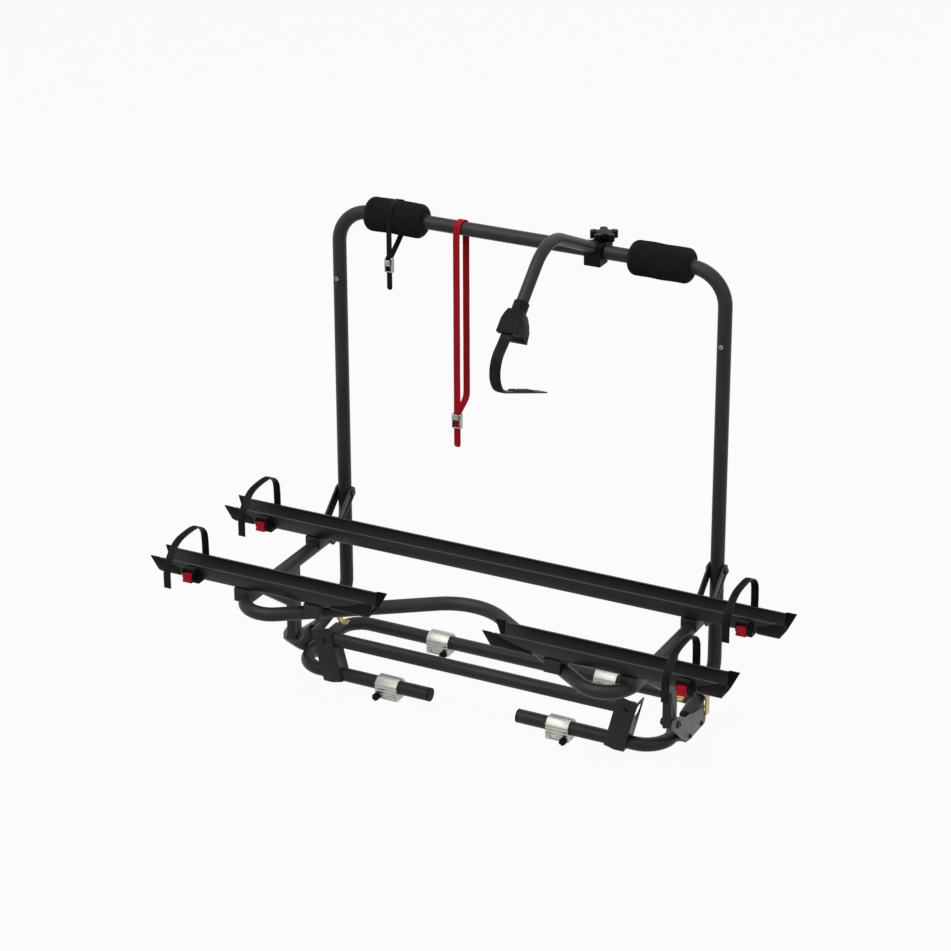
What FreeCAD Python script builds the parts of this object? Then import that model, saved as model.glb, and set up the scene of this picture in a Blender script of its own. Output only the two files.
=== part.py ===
import FreeCAD, Part
import math
import os
from types import SimpleNamespace

import Sketcher
from FreeCAD import Placement, Rotation, Vector

# A caravan drawbar bike rack. X runs across the rack, +Y towards the caravan, +Z up.
# Pieces are drawn with Y = 0 in the hoop's plane and Z = 0 at the clamps' undersides. Each finished
# sub-part is then moved back by one size, so that the origin is below the middle of the whole rack.
SIZES = {
    # tubes
    "origin_shift": 246.5, "tube_d": 30, "tube_wall": 2,
    # clearances of a pressed fit, of a moving fit and between neighbours
    "socket_gap": 0.05, "slide_gap": 0.08, "part_gap": 0.3,
    # hoop
    "hoop_half": 446.5, "bar_z": 1000, "corner_bend": 75, "leg_joint_z": 800, "spigot_length": 85,
    "foot_front": 148, "foot_z": 60.5, "foot_slope": 12.8, "foot_bend": 45, "hoop_screw_z": 843.5,
    "hoop_screw_d": 5,
    # platform tube
    "deck_z": 262, "lobe_corner": 533, "lobe_bend": 60, "mid_corner": 218, "mid_bend": 130,
    # braces between leg and platform
    "brace_top_z": 338, "brace_foot": 85, "brace_r": 14, "brace_thick": 4, "brace_bolt_d": 8,
    # front legs and the tilt pivot
    "pivot_y": 235, "pivot_z": 88, "pivot_d": 10, "leg_width": 20, "leg_depth": 30, "leg_wall": 3,
    "flare_y": 358, "flare_drop": 97, "pivot_boss_r": 16,
    # rails
    "back_rail_y": 124, "front_rail_y": 426, "front_rail_lift": 6, "rail_bottom_z": 286,
    "rail_width": 60, "rail_height": 35, "rail_wall": 2.5, "rail_corner": 6, "rail_flare": 6,
    "rail_lip": 5, "rail_lip_thick": 3, "rail_half": 640, "rail_inner_x": 150,
    # end caps of the rails
    "cap_sleeve": 42, "cap_tongue": 82, "cap_wall": 1.5, "cap_foot": 6, "cap_tip": 24, "cap_floor": 3,
    "cap_cheek_r": 280, "cap_cheek_back": 134, "cap_cheek_z": 281,
    # brackets under the rails, and their bolts
    "diagonal_bracket_x": 278, "bracket_length": 46, "bracket_width": 36, "rail_bolt_d": 6,
    "rail_bolt_head_d": 13, "rail_bolt_head": 3,
    # base
    "base_z": 28, "rear_tube_y": 10, "side_x": 432, "base_bend": 50, "side_tube_end": 122,
    "front_tube_y": 248, "front_bend": 58, "front_tube_inner": 108, "front_tube_end": 146,
    "cross_bar_z": 108, "cross_bar_half": 372, "plate_inset": 34, "plate_width": 46,
    "plate_depth": 37, "plate_wall": 3, "plate_lean": 14, "plate_height": 126, "plug_rim": 4,
    "plug_depth": 12,
    # side brackets
    "ear_inner_x": 457.5, "ear_thick": 8.5, "socket_front": 172, "socket_back": 140,
    "cradle_back": 92, "socket_wall": 4.5,
    "bracket_bolt_d": 6, "bracket_bolt_head_d": 10, "bracket_bolt_head": 4,
    "ear_nose": 17, "ear_nose_drop": 4, "ear_brow": 12, "ear_brow_rise": 11, "ear_crown": 16,
    "ear_chin": 20,
    "ear_shoulder_y": 206, "ear_shoulder_z": 91, "ear_saddle_y": 174, "ear_saddle_z": 74,
    "ear_hump_y": 109, "ear_hump_z": 66, "ear_heel_z": 51, "ear_toe_y": 86, "ear_toe_z": 34,
    "ear_sole_y": 90, "ear_sole_z": 22, "ear_belly_y": 178, "ear_throat_y": 200, "ear_throat_z": 38,
    "ear_round": 6,
    # foot hooks
    "hook_y": 86, "hook_width": 16, "hook_thick": 4, "hook_flange_x": 397, "hook_flange_z": 63,
    "hook_ramp_x": 413, "hook_shoulder_x": 428, "hook_end_z": 42, "hook_hole_d": 6, "hook_pad_width": 10,
    # drawbar clamps
    "clamp_x": 204, "clamp_length": 52, "clamp_width": 42, "clamp_height": 47, "clamp_split": 1,
    "clamp_bolt_z": 8.5, "clamp_bolt_d": 6, "clamp_bolt_offset": 19, "clamp_knob_d": 16,
    "clamp_knob_length": 12, "clamp_rib": 2, "clamp_rib_pitch": 8, "clamp_chamfer": 11,
    # foam pads
    "pad_inner_x": 232, "pad_length": 141, "pad_d": 70, "pad_round": 11,
    # webbing
    "web_width": 11, "web_thick": 1.5, "pad_strap_x": 306, "pad_strap_lean": 46,
    "pad_tail_z": 849, "red_strap_x": 156, "red_sag": 18, "red_buckle_z": 575, "red_tail_z": 513,
    "buckle_height": 26, "buckle_depth": 12, "buckle_cheek": 2, "cam_r": 4,
    # frame holder arm
    "arm_x": 160, "liner_wall": 2, "liner_length": 40, "arm_tube_d": 25, "arm_start": 20,
    "arm_start_rise": 13.4, "arm_reach": 236, "arm_rise": 107.5, "arm_tip": 104, "arm_drop": 95.5,
    "arm_bend": 105, "arm_clamp_width": 36, "arm_clamp_front": 26, "arm_clamp_rear": 37,
    "arm_clamp_below": 26, "arm_clamp_above": 18.9, "arm_boss_r": 15.5, "knob_bolt_d": 8,
    "knob_bolt_y": 24.5, "knob_x": 164, "knob_r": 16, "knob_lobe_r": 8, "knob_lobe_reach": 22,
    "knob_height": 18, "knob_lift": 3,
    "arm_screw_x": 147.5, "arm_screw_y": 8.2, "arm_screw_d": 11.5, "arm_screw_h": 7.5,
    "head_width": 44, "head_top_width": 31, "head_neck_r": 16, "head_collar": 34,
    "head_plug": 22, "head_length": 89, "head_mouth_r": 34,
    "frame_strap_width": 24, "frame_strap_thick": 3, "frame_strap_seat": 13, "frame_strap_lead": 34,
    "frame_strap_belly": 30, "frame_strap_low": 226, "frame_strap_tip": 226, "frame_strap_tip_z": 93.6,
    "frame_strap_bend": 80, "frame_strap_turn": 52,
    # wheel straps
    "strap_inset": 72, "strap_width": 17, "strap_thick": 2.5, "carriage_width": 36,
    "carriage_wall": 4, "carriage_drop": 8, "buckle_half": 14, "lever_pin_r": 2, "lever_pin_y": 13,
    "lever_pin_z": 19, "lever_half": 10, "lever_pad_half": 11.5, "lever_drop": 16, "lever_rise": 4,
    "lever_reach": 9, "lever_thick": 4.5, "backing_thick": 4, "hood_depth": 12, "cheek_depth": 14,
    "cheek_drop": 9,
    "buckle_shift": 6, "hood_height": 33, "hood_gap": 7, "strap_shoulder": 80, "strap_peak": 112,
    "strap_front": 118, "strap_tail_z": 18,
}

doc = FreeCAD.newDocument("caravan_bike_rack")
sheet = doc.addObject("Spreadsheet::Sheet", "sizes")
for row, (alias, number) in enumerate(SIZES.items(), start=1):
    sheet.set("A%d" % row, alias)
    sheet.set("B%d" % row, str(number))
    sheet.setAlias("B%d" % row, alias)
doc.recompute()


class Size:
    """A size that carries its value and the sheet expression that gives it."""

    def __init__(self, value, text):
        self.value = value
        self.text = text

    def __add__(self, other):
        other = as_size(other)
        return Size(self.value + other.value, "(%s + %s)" % (self.text, other.text))

    def __sub__(self, other):
        other = as_size(other)
        return Size(self.value - other.value, "(%s - %s)" % (self.text, other.text))

    def __mul__(self, other):
        other = as_size(other)
        return Size(self.value * other.value, "(%s * %s)" % (self.text, other.text))

    def __truediv__(self, other):
        other = as_size(other)
        return Size(self.value / other.value, "(%s / %s)" % (self.text, other.text))

    def __neg__(self):
        return Size(-self.value, "(0 - %s)" % self.text)

    __radd__ = __add__
    __rmul__ = __mul__

    def __rsub__(self, other):
        return as_size(other) - self


def as_size(number):
    """Wraps a plain number so that it can stand in an expression."""
    return number if isinstance(number, Size) else Size(float(number), repr(float(number)))


def tangent(angle):
    """The tangent of an angle in degrees."""
    angle = as_size(angle)
    return Size(math.tan(math.radians(angle.value)), "tan(%s)" % angle.text)


def sine(angle):
    """The sine of an angle in degrees."""
    angle = as_size(angle)
    return Size(math.sin(math.radians(angle.value)), "sin(%s)" % angle.text)


def cosine(angle):
    """The cosine of an angle in degrees."""
    angle = as_size(angle)
    return Size(math.cos(math.radians(angle.value)), "cos(%s)" % angle.text)


def slope_angle(rise, run):
    """The angle in degrees whose tangent is rise over run."""
    rise, run = as_size(rise), as_size(run)
    value = math.degrees(math.atan2(rise.value, run.value))
    return Size(value, "(atan2(%s; %s) / 1 deg)" % (rise.text, run.text))


s = SimpleNamespace(**{alias: Size(sheet.get(alias), "sizes." + alias) for alias in SIZES})
tube_r = s.tube_d / 2
bore_r = tube_r - s.tube_wall
socket_r = tube_r + s.socket_gap
slide_r = tube_r + s.slide_gap

made = {}


def place(obj, at, axis=(0, 0, 1), angle=0):
    """Puts an object at a point given by sizes, turned about one axis."""
    turn = as_size(angle)
    obj.Placement = Placement(Vector(0, 0, 0), Rotation(Vector(*axis), turn.value))
    for letter, size in zip("xyz", at):
        obj.setExpression("Placement.Base." + letter, as_size(size).text)
    if turn.text.startswith("("):
        obj.setExpression("Placement.Rotation.Angle", turn.text)
    return obj


def label(obj, name):
    """Makes a finished sub-part of a piece and keeps it for export."""
    whole = doc.addObject("Part::Compound", "whole")
    whole.Links = [obj]
    place(whole, (0, s.origin_shift, 0))
    whole.Label = name
    made[name] = whole


def box(size, at, axis=(0, 0, 1), angle=0):
    """A box from its corner."""
    obj = doc.addObject("Part::Box", "box")
    for prop, value in zip(("Length", "Width", "Height"), size):
        obj.setExpression(prop, as_size(value).text)
    return place(obj, at, axis, angle)


def span(x, y, z):
    """A box between two limits along each axis."""
    return box([b - a for a, b in (x, y, z)], [limits[0] for limits in (x, y, z)])


def rod(radius, length, at, along="z"):
    """A cylinder from the centre of its first face, along a row axis."""
    obj = doc.addObject("Part::Cylinder", "rod")
    obj.setExpression("Radius", as_size(radius).text)
    obj.setExpression("Height", as_size(length).text)
    axis, angle = {"x": ((0, 1, 0), 90), "y": ((1, 0, 0), -90), "z": ((0, 0, 1), 0)}[along]
    return place(obj, at, axis, angle)


def fuse(*shapes):
    """One solid of several."""
    obj = doc.addObject("Part::MultiFuse", "fuse")
    obj.Shapes = list(shapes)
    return obj


def group(*shapes):
    """Separate solids kept as one sub-part."""
    obj = doc.addObject("Part::Compound", "group")
    obj.Links = list(shapes)
    return obj


def cut(base, *tools):
    """A solid less its tools."""
    obj = doc.addObject("Part::Cut", "cut")
    obj.Base = base
    obj.Tool = tools[0] if len(tools) == 1 else fuse(*tools)
    return obj


def mirror(source):
    """The same piece on the other side of the rack."""
    obj = doc.addObject("Part::Mirroring", "mirror")
    obj.Source = source
    obj.Normal = Vector(1, 0, 0)
    return obj


def rounded(source, radius, chosen):
    """Rounds the edges that the test picks."""
    doc.recompute()
    obj = doc.addObject("Part::Fillet", "rounded")
    obj.Base = source
    picked = [i for i, edge in enumerate(source.Shape.Edges, start=1) if chosen(edge)]
    obj.Edges = [(i, as_size(radius).value, as_size(radius).value) for i in picked]
    return obj


def along_axis(edge, letter):
    """Tells whether a straight edge runs along a row axis."""
    start, end = edge.firstVertex().Point, edge.lastVertex().Point
    length = (end - start).Length
    return length > 0.01 and abs(getattr(end - start, letter)) > 0.999 * length


def new_body(name):
    """A body with its three origin planes by letter."""
    body = doc.addObject("PartDesign::Body", name)
    planes = {f.Role[:2]: f for f in body.Origin.OriginFeatures if f.Role.endswith("_Plane")}
    return body, planes


def new_sketch(body, support, mode="FlatFace"):
    """An empty sketch on a plane or at the start of a path."""
    sketch = body.newObject("Sketcher::SketchObject", "sketch")
    sketch.AttachmentSupport = [support]
    sketch.MapMode = mode
    return sketch


def pin_point(sketch, geometry, end, point):
    """Ties a point of a sketch to its origin by two sizes."""
    for kind, size in zip(("DistanceX", "DistanceY"), point):
        size = as_size(size)
        index = sketch.addConstraint(Sketcher.Constraint(kind, -1, 1, geometry, end, size.value))
        sketch.setExpression("Constraints[%d]" % index, size.text)


def outline(sketch, points):
    """A closed outline of straight edges."""
    spots = [Vector(as_size(x).value, as_size(y).value, 0) for x, y in points]
    count = len(spots)
    for i in range(count):
        sketch.addGeometry(Part.LineSegment(spots[i], spots[(i + 1) % count]), False)
    for i in range(count):
        sketch.addConstraint(Sketcher.Constraint("Coincident", i, 2, (i + 1) % count, 1))
    for i, point in enumerate(points):
        pin_point(sketch, i, 1, point)


def prism(plane, points, thick, at=(0, 0, 0), axis=(0, 0, 1), angle=0):
    """A plate of an outline drawn on a plane, with its thickness half on each side."""
    body, planes = new_body("plate")
    sketch = new_sketch(body, (planes[plane], ""))
    outline(sketch, points)
    pad = body.newObject("PartDesign::Pad", "pad")
    pad.Profile = sketch
    pad.SideType = "Symmetric"
    pad.setExpression("Length", as_size(thick).text)
    body.Tip = pad
    return place(body, at, axis, angle)


def turn_between(before, after):
    """The angle in radians through which a path turns, and whether it turns left."""
    cross = before.x * after.y - before.y * after.x
    return math.acos(max(-1, min(1, before.dot(after)))), cross > 0


def path_sketch(body, plane, corners, radii):
    """An open path of straight runs joined by tangent arcs, one at each inner corner."""
    sketch = new_sketch(body, (plane, ""))
    spots = [Vector(as_size(x).value, as_size(y).value, 0) for x, y in corners]
    runs = [(b - a).normalize() for a, b in zip(spots, spots[1:])]
    starts, arcs, ends = [spots[0]], [], []
    for i, radius in enumerate(radii):
        turn, left = turn_between(runs[i], runs[i + 1])
        trim = as_size(radius).value * math.tan(turn / 2)
        enter, leave = spots[i + 1] - runs[i] * trim, spots[i + 1] + runs[i + 1] * trim
        side = Vector(-runs[i].y, runs[i].x, 0) * (1 if left else -1)
        arcs.append((enter, enter + side * as_size(radius).value, leave, left))
        ends.append(enter)
        starts.append(leave)
    ends.append(spots[-1])
    lines, bends = [], []
    for i, (start, end) in enumerate(zip(starts, ends)):
        lines.append(sketch.addGeometry(Part.LineSegment(start, end), False))
        if i < len(arcs):
            enter, centre, leave, left = arcs[i]
            first, last = (enter, leave) if left else (leave, enter)
            angles = [math.atan2(p.y - centre.y, p.x - centre.x) for p in (first, last)]
            if angles[1] < angles[0]:
                angles[1] += 2 * math.pi
            circle = Part.Circle(centre, Vector(0, 0, 1), as_size(radii[i]).value)
            bends.append((sketch.addGeometry(Part.ArcOfCircle(circle, *angles), False), left))
    for i, (bend, left) in enumerate(bends):
        near, far = (1, 2) if left else (2, 1)
        sketch.addConstraint(Sketcher.Constraint("Tangent", lines[i], 2, bend, near))
        sketch.addConstraint(Sketcher.Constraint("Tangent", bend, far, lines[i + 1], 1))
        index = sketch.addConstraint(Sketcher.Constraint("Radius", bend, as_size(radii[i]).value))
        sketch.setExpression("Constraints[%d]" % index, as_size(radii[i]).text)
        mark = sketch.addGeometry(Part.Point(spots[i + 1]), True)
        pin_point(sketch, mark, 1, corners[i + 1])
        sketch.addConstraint(Sketcher.Constraint("PointOnObject", mark, 1, lines[i]))
        sketch.addConstraint(Sketcher.Constraint("PointOnObject", mark, 1, lines[i + 1]))
    pin_point(sketch, lines[0], 1, corners[0])
    pin_point(sketch, lines[-1], 2, corners[-1])
    return sketch, len(lines) + len(bends)


def sweep(plane, corners, radii, section, at=(0, 0, 0), axis=(0, 0, 1), angle=0):
    """A tube or band along a path; the section is drawn square to the path's start."""
    body, planes = new_body("bent")
    path, edges = path_sketch(body, planes[plane], corners, radii)
    doc.recompute()
    profile = new_sketch(body, (path, "Edge1"), "NormalToEdge")
    profile.MapPathParameter = 0.0
    section(profile)
    pipe = body.newObject("PartDesign::AdditivePipe", "pipe")
    pipe.Profile = profile
    pipe.Spine = (path, ["Edge%d" % (i + 1) for i in range(edges)])
    body.Tip = pipe
    return place(body, at, axis, angle)


def ring_section(outer, inner):
    """A tube's section: two circles about the path."""
    def draw(sketch):
        for radius in (outer, inner):
            size = as_size(radius)
            circle = Part.Circle(Vector(0, 0, 0), Vector(0, 0, 1), size.value)
            ring = sketch.addGeometry(circle, False)
            sketch.addConstraint(Sketcher.Constraint("Coincident", ring, 3, -1, 1))
            index = sketch.addConstraint(Sketcher.Constraint("Radius", ring, size.value))
            sketch.setExpression("Constraints[%d]" % index, size.text)
    return draw


def band_section(width, thick, along="x"):
    """A band's section: its width along the axis that the path's plane is square to."""
    def draw(sketch):
        half_w, half_t = width / 2, thick / 2
        across = sketch.Placement.Rotation.multVec(Vector(1, 0, 0))
        flat = abs(getattr(across, along)) > 0.5
        a, b = (half_w, half_t) if flat else (half_t, half_w)
        outline(sketch, [(-a, -b), (a, -b), (a, b), (-a, b)])
    return draw


def bent_tube(plane, corners, radii, at=(0, 0, 0)):
    """A bent steel tube of the rack's stock size."""
    return sweep(plane, corners, radii, ring_section(tube_r, bore_r), at)


def both_sides(name, piece):
    """Labels a right-hand piece and its mirrored twin."""
    label(mirror(piece), name + "_left")
    label(piece, name + "_right")


# Hoop: a bent upper tube on two straight legs
bar_half = s.hoop_half
upper = bent_tube("XZ", [(-bar_half, s.leg_joint_z), (-bar_half, s.bar_z), (bar_half, s.bar_z),
                         (bar_half, s.leg_joint_z)], [s.corner_bend, s.corner_bend])
screw_r = s.hoop_screw_d / 2
screw_holes = [rod(screw_r + s.slide_gap, tube_r, (x, -tube_r - 1, s.hoop_screw_z), "y")
               for x in (-bar_half, bar_half)]
label(cut(upper, *screw_holes), "upper_hoop")


foot_rise = tangent(s.foot_slope)


def foot_axis_z(y):
    """The height of the foot's centre line at a distance in front of the hoop."""
    return s.foot_z + (s.foot_front - y) * foot_rise


def lower_leg():
    """One leg, bent forward into a foot, with the spigot that enters the upper hoop."""
    spigot_r = bore_r - s.socket_gap
    leg = bent_tube("YZ", [(0, s.leg_joint_z), (0, foot_axis_z(0)), (-s.foot_front, s.foot_z)],
                    [s.foot_bend], (bar_half, 0, 0))
    root = rod(bore_r, s.spigot_length / 4, (bar_half, 0, s.leg_joint_z - s.spigot_length / 4))
    spigot = rod(spigot_r, s.spigot_length, (bar_half, 0, s.leg_joint_z))
    core_z = s.leg_joint_z - s.spigot_length / 2
    core = rod(spigot_r - s.tube_wall, s.spigot_length * 2, (bar_half, 0, core_z))
    screw_hole = rod(screw_r + s.slide_gap, tube_r, (bar_half, -tube_r - 1, s.hoop_screw_z), "y")
    bolt_r = s.brace_bolt_d / 2 + s.slide_gap
    bolt_hole = rod(bolt_r, s.tube_d * 2, (bar_half - s.tube_d, 0, s.brace_top_z), "x")
    return cut(fuse(leg, cut(fuse(root, spigot), core)), screw_hole, bolt_hole)


both_sides("lower_leg", lower_leg())

# Platform: one tube bent into an M, with its ends as side arms
deck_corners = [(-bar_half, -2), (-bar_half, -s.lobe_corner), (0, -s.mid_corner),
                (bar_half, -s.lobe_corner), (bar_half, -2)]
deck_bends = [s.lobe_bend, s.mid_bend, s.lobe_bend]
deck = bent_tube("XY", deck_corners, deck_bends, (0, 0, s.deck_z))
deck_tools = []
for x in (-bar_half, bar_half):
    deck_tools.append(rod(tube_r, s.tube_d * 2, (x, 0, s.deck_z - s.tube_d)))
    hole_r = s.brace_bolt_d / 2 + s.slide_gap
    deck_tools.append(rod(hole_r, s.tube_d * 2, (x - s.tube_d, -s.brace_foot, s.deck_z), "x"))
label(cut(deck, *deck_tools), "platform_tube")

# Braces: a plate on each face of each leg, sloping down to the side arm
brace_rise = s.brace_top_z - s.deck_z
brace_angle = slope_angle(brace_rise, s.brace_foot)


def brace(x):
    """A round-ended strip from the leg's bolt to the side arm's bolt."""
    offset_y, offset_z = s.brace_r * sine(brace_angle), s.brace_r * cosine(brace_angle)
    middle = prism("YZ", [(-offset_y, s.brace_top_z + offset_z),
                          (-s.brace_foot - offset_y, s.deck_z + offset_z),
                          (-s.brace_foot + offset_y, s.deck_z - offset_z),
                          (offset_y, s.brace_top_z - offset_z)], s.brace_thick, (x, 0, 0))
    start_x = x - s.brace_thick / 2
    ends = [rod(s.brace_r, s.brace_thick, (start_x, y, z), "x")
            for y, z in ((0, s.brace_top_z), (-s.brace_foot, s.deck_z))]
    holes = [rod(s.brace_bolt_d / 2 + s.slide_gap, s.brace_thick * 3, (x - s.brace_thick, y, z), "x")
             for y, z in ((0, s.brace_top_z), (-s.brace_foot, s.deck_z))]
    return cut(fuse(middle, *ends), *holes)


brace_offset = tube_r + s.brace_thick / 2
label(group(*[brace(side * bar_half + offset) for side in (-1, 1)
              for offset in (-brace_offset, brace_offset)]), "gusset_plates")

# Front legs: folded channels from the side arms down to the tilt pivot
pivot_r = s.pivot_d / 2


def front_leg():
    """A channel, open at the back, with a round boss for the pivot bolt."""
    back_y = s.leg_depth / 2 - s.pivot_y
    front_y = -s.pivot_y - s.leg_depth / 2
    flare_z = s.deck_z - s.flare_drop

    def channel(inset, wide, open_back):
        rear = back_y + open_back
        front = front_y + inset
        return prism("YZ", [(rear, s.deck_z), (-s.flare_y + inset, s.deck_z),
                            (-s.flare_y + inset, s.deck_z - tube_r - 6), (front, flare_z),
                            (front, s.pivot_z), (rear, s.pivot_z)], wide, (bar_half, 0, 0))

    start_x = bar_half - s.leg_width / 2
    boss = rod(s.leg_depth / 2, s.leg_width, (start_x, -s.pivot_y, s.pivot_z), "x")
    outer = fuse(channel(0, s.leg_width, 0), boss)
    inner = channel(s.leg_wall, s.leg_width - 2 * s.leg_wall, s.leg_depth)
    gap_z = s.pivot_z - s.pivot_boss_r
    slot = span((start_x + s.leg_wall, start_x + s.leg_width - s.leg_wall),
                (front_y + s.leg_wall, back_y + s.leg_depth), (gap_z, s.pivot_z + 1))
    bore = rod(pivot_r + s.socket_gap, s.leg_width * 2, (start_x - 5, -s.pivot_y, s.pivot_z), "x")
    arm_length = s.flare_y * 2
    arm = rod(tube_r, arm_length, (bar_half, -arm_length, s.deck_z), "y")
    return cut(outer, inner, slot, bore, arm)


both_legs = front_leg()
label(group(mirror(both_legs), both_legs), "front_legs")

# Rails: wide channels with thickened rims
half_rail = s.rail_width / 2


def rail_outline():
    """The channel's section about the rail's centre line: a flat floor and walls that flare."""
    a, c, t = half_rail, s.rail_corner, s.rail_wall
    low, lip, lip_z = half_rail - s.rail_flare, s.rail_lip, s.rail_height - s.rail_lip_thick
    right = [(low - c, 0), (low, c), (a, s.rail_height), (a - lip, s.rail_height),
             (a - lip, lip_z), (a - t - 0.5, lip_z), (low - t, c + 1), (low - c - 1, t)]
    return right + [(-y, z) for y, z in reversed(right)]


def rail_envelope(grow, top):
    """The rail's outer outline, grown all round and carried straight up to a height."""
    low, c, wide = half_rail - s.rail_flare, s.rail_corner, half_rail + grow
    right = [(low - c + grow / 2, -grow), (low + grow, c - grow / 2), (wide, s.rail_height),
             (wide, top)]
    return right + [(-y, z) for y, z in reversed(right)]


def rail(start_x, end_x, y, bottom_z, bolt_xs):
    """One length of rail, drilled for its bolts."""
    length = end_x - start_x
    middle = (start_x + end_x) / 2
    channel = prism("YZ", rail_outline(), length, (middle, -y, bottom_z))
    holes = [rod(s.rail_bolt_d / 2 + s.slide_gap, s.rail_wall * 3, (x, -y, bottom_z - 1))
             for x in bolt_xs]
    return cut(channel, *holes)


back_z = s.rail_bottom_z
front_z = back_z + s.front_rail_lift
label(rail(-s.rail_half, s.rail_half, s.back_rail_y, back_z, (-bar_half, bar_half)), "back_rail")
front_rail = rail(s.rail_inner_x, s.rail_half, s.front_rail_y, front_z,
                  (s.diagonal_bracket_x, bar_half))
both_sides("front_rail", front_rail)


def end_cap(end_x, outwards, y, bottom_z, sleeve):
    """A plastic end, open ahead, with two cheeks that rise in a curve to leaning points."""
    foot, tip, wall = s.cap_foot, s.cap_tip, s.cap_wall
    top, floor = s.rail_height + wall, s.cap_floor
    at = (end_x, -y, bottom_z)

    def hull(grow, length, side):
        points = [(x * outwards, z) for x, z in side]
        solid = doc.addObject("Part::MultiCommon", "hull")
        solid.Shapes = [prism("XZ", points, s.rail_width * 2, at),
                        prism("YZ", rail_envelope(grow, top * 2), length * 2, at)]
        return solid

    outer = hull(wall, sleeve, [(-sleeve, -wall), (foot, -wall), (tip, top), (-sleeve, top)])
    rail_room = hull(0, sleeve * 2, [(-sleeve * 2, 0), (0, 0), (0, top + 1), (-sleeve * 2, top + 1)])
    mouth = hull(-wall, tip * 2, [(-1, floor), (tip * 2, floor), (tip * 2, top + 1), (-1, top + 1)])
    cheek = rod(s.cap_cheek_r, s.rail_width * 2,
                (end_x - s.cap_cheek_back * outwards, -y - s.rail_width, bottom_z + s.cap_cheek_z), "y")
    return cut(outer, rail_room, mouth, cheek)


back_cap = end_cap(s.rail_half, 1, s.back_rail_y, back_z, s.cap_sleeve)
front_cap = end_cap(s.rail_half, 1, s.front_rail_y, front_z, s.cap_sleeve)
inner_cap = end_cap(s.rail_inner_x, -1, s.front_rail_y, front_z, s.cap_tongue)
caps = [piece for cap in (back_cap, front_cap, inner_cap) for piece in (cap, mirror(cap))]
label(group(*caps), "rail_end_caps")

# Saddle brackets between the platform tube and the rails
def disc_section(radius):
    """A solid round section about the path."""
    def draw(sketch):
        circle = Part.Circle(Vector(0, 0, 0), Vector(0, 0, 1), radius.value)
        disc = sketch.addGeometry(circle, False)
        sketch.addConstraint(Sketcher.Constraint("Coincident", disc, 3, -1, 1))
        index = sketch.addConstraint(Sketcher.Constraint("Radius", disc, radius.value))
        sketch.setExpression("Constraints[%d]" % index, radius.text)
    return draw


deck_solid = sweep("XY", deck_corners, deck_bends, disc_section(socket_r), (0, 0, s.deck_z))


def saddle(x, y, top_z):
    """A block that seats a rail on the tube, with the tube's hollow in its underside."""
    half_w, half_l = s.bracket_width / 2, s.bracket_length / 2
    block = span((x - half_w, x + half_w), (-y - half_l, half_l - y), (s.deck_z, top_z))
    bolt_hole = rod(s.rail_bolt_d / 2 + s.slide_gap, s.tube_d * 2, (x, -y, s.deck_z))
    return cut(block, deck_solid, bolt_hole)


front_y = s.front_rail_y
saddles = [saddle(side * bar_half, s.back_rail_y, back_z) for side in (-1, 1)]
saddles += [saddle(side * x, front_y, front_z) for side in (-1, 1)
            for x in (bar_half, s.diagonal_bracket_x)]
label(group(*saddles), "rail_brackets")


# Rack fasteners: hoop screws, brace bolts and rail bolts
def hoop_screw(x):
    """A round-headed screw in the front of the leg."""
    head = rod(s.hoop_screw_d, 3, (x, -tube_r - 3, s.hoop_screw_z), "y")
    shank = rod(screw_r, s.tube_wall * 2, (x, -tube_r, s.hoop_screw_z), "y")
    return fuse(head, shank)


def brace_bolt(x, y, z):
    """A bolt through both plates and the tube between them, with a head and a nut."""
    half = tube_r + s.brace_thick
    shank = rod(s.brace_bolt_d / 2, half * 2 + 10, (x - half - 5, y, z), "x")
    head = rod(s.brace_bolt_d * 0.85, 5, (x + half, y, z), "x")
    nut = rod(s.brace_bolt_d * 0.85, 5, (x - half - 5, y, z), "x")
    return fuse(shank, head, nut)


def rail_bolt(x, y, bottom_z):
    """A flat round head on the rail's floor and a shank down to the tube."""
    floor_z = bottom_z + s.rail_wall
    low_z = s.deck_z + tube_r + 1
    head = rod(s.rail_bolt_head_d / 2, s.rail_bolt_head, (x, -y, floor_z))
    shank = rod(s.rail_bolt_d / 2, floor_z - low_z + 1, (x, -y, low_z))
    return fuse(head, shank)


right_bolts = [hoop_screw(bar_half), brace_bolt(bar_half, 0, s.brace_top_z),
               brace_bolt(bar_half, -s.brace_foot, s.deck_z), rail_bolt(bar_half, s.back_rail_y, back_z),
               rail_bolt(bar_half, front_y, front_z),
               rail_bolt(s.diagonal_bracket_x, front_y, front_z)]
label(group(*[piece for bolt in right_bolts for piece in (bolt, mirror(bolt))]), "rack_bolts")


# Foot hooks: bands over the legs' feet
def foot_rod(radius, ahead, length):
    """A cylinder about the foot's centre line, from a distance ahead of its front end."""
    obj = doc.addObject("Part::Cylinder", "rod")
    obj.setExpression("Radius", as_size(radius).text)
    obj.setExpression("Height", as_size(length).text)
    start = (bar_half, -s.foot_front - ahead * cosine(s.foot_slope),
             s.foot_z - ahead * sine(s.foot_slope))
    return place(obj, start, (1, 0, 0), s.foot_slope - 90)


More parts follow.
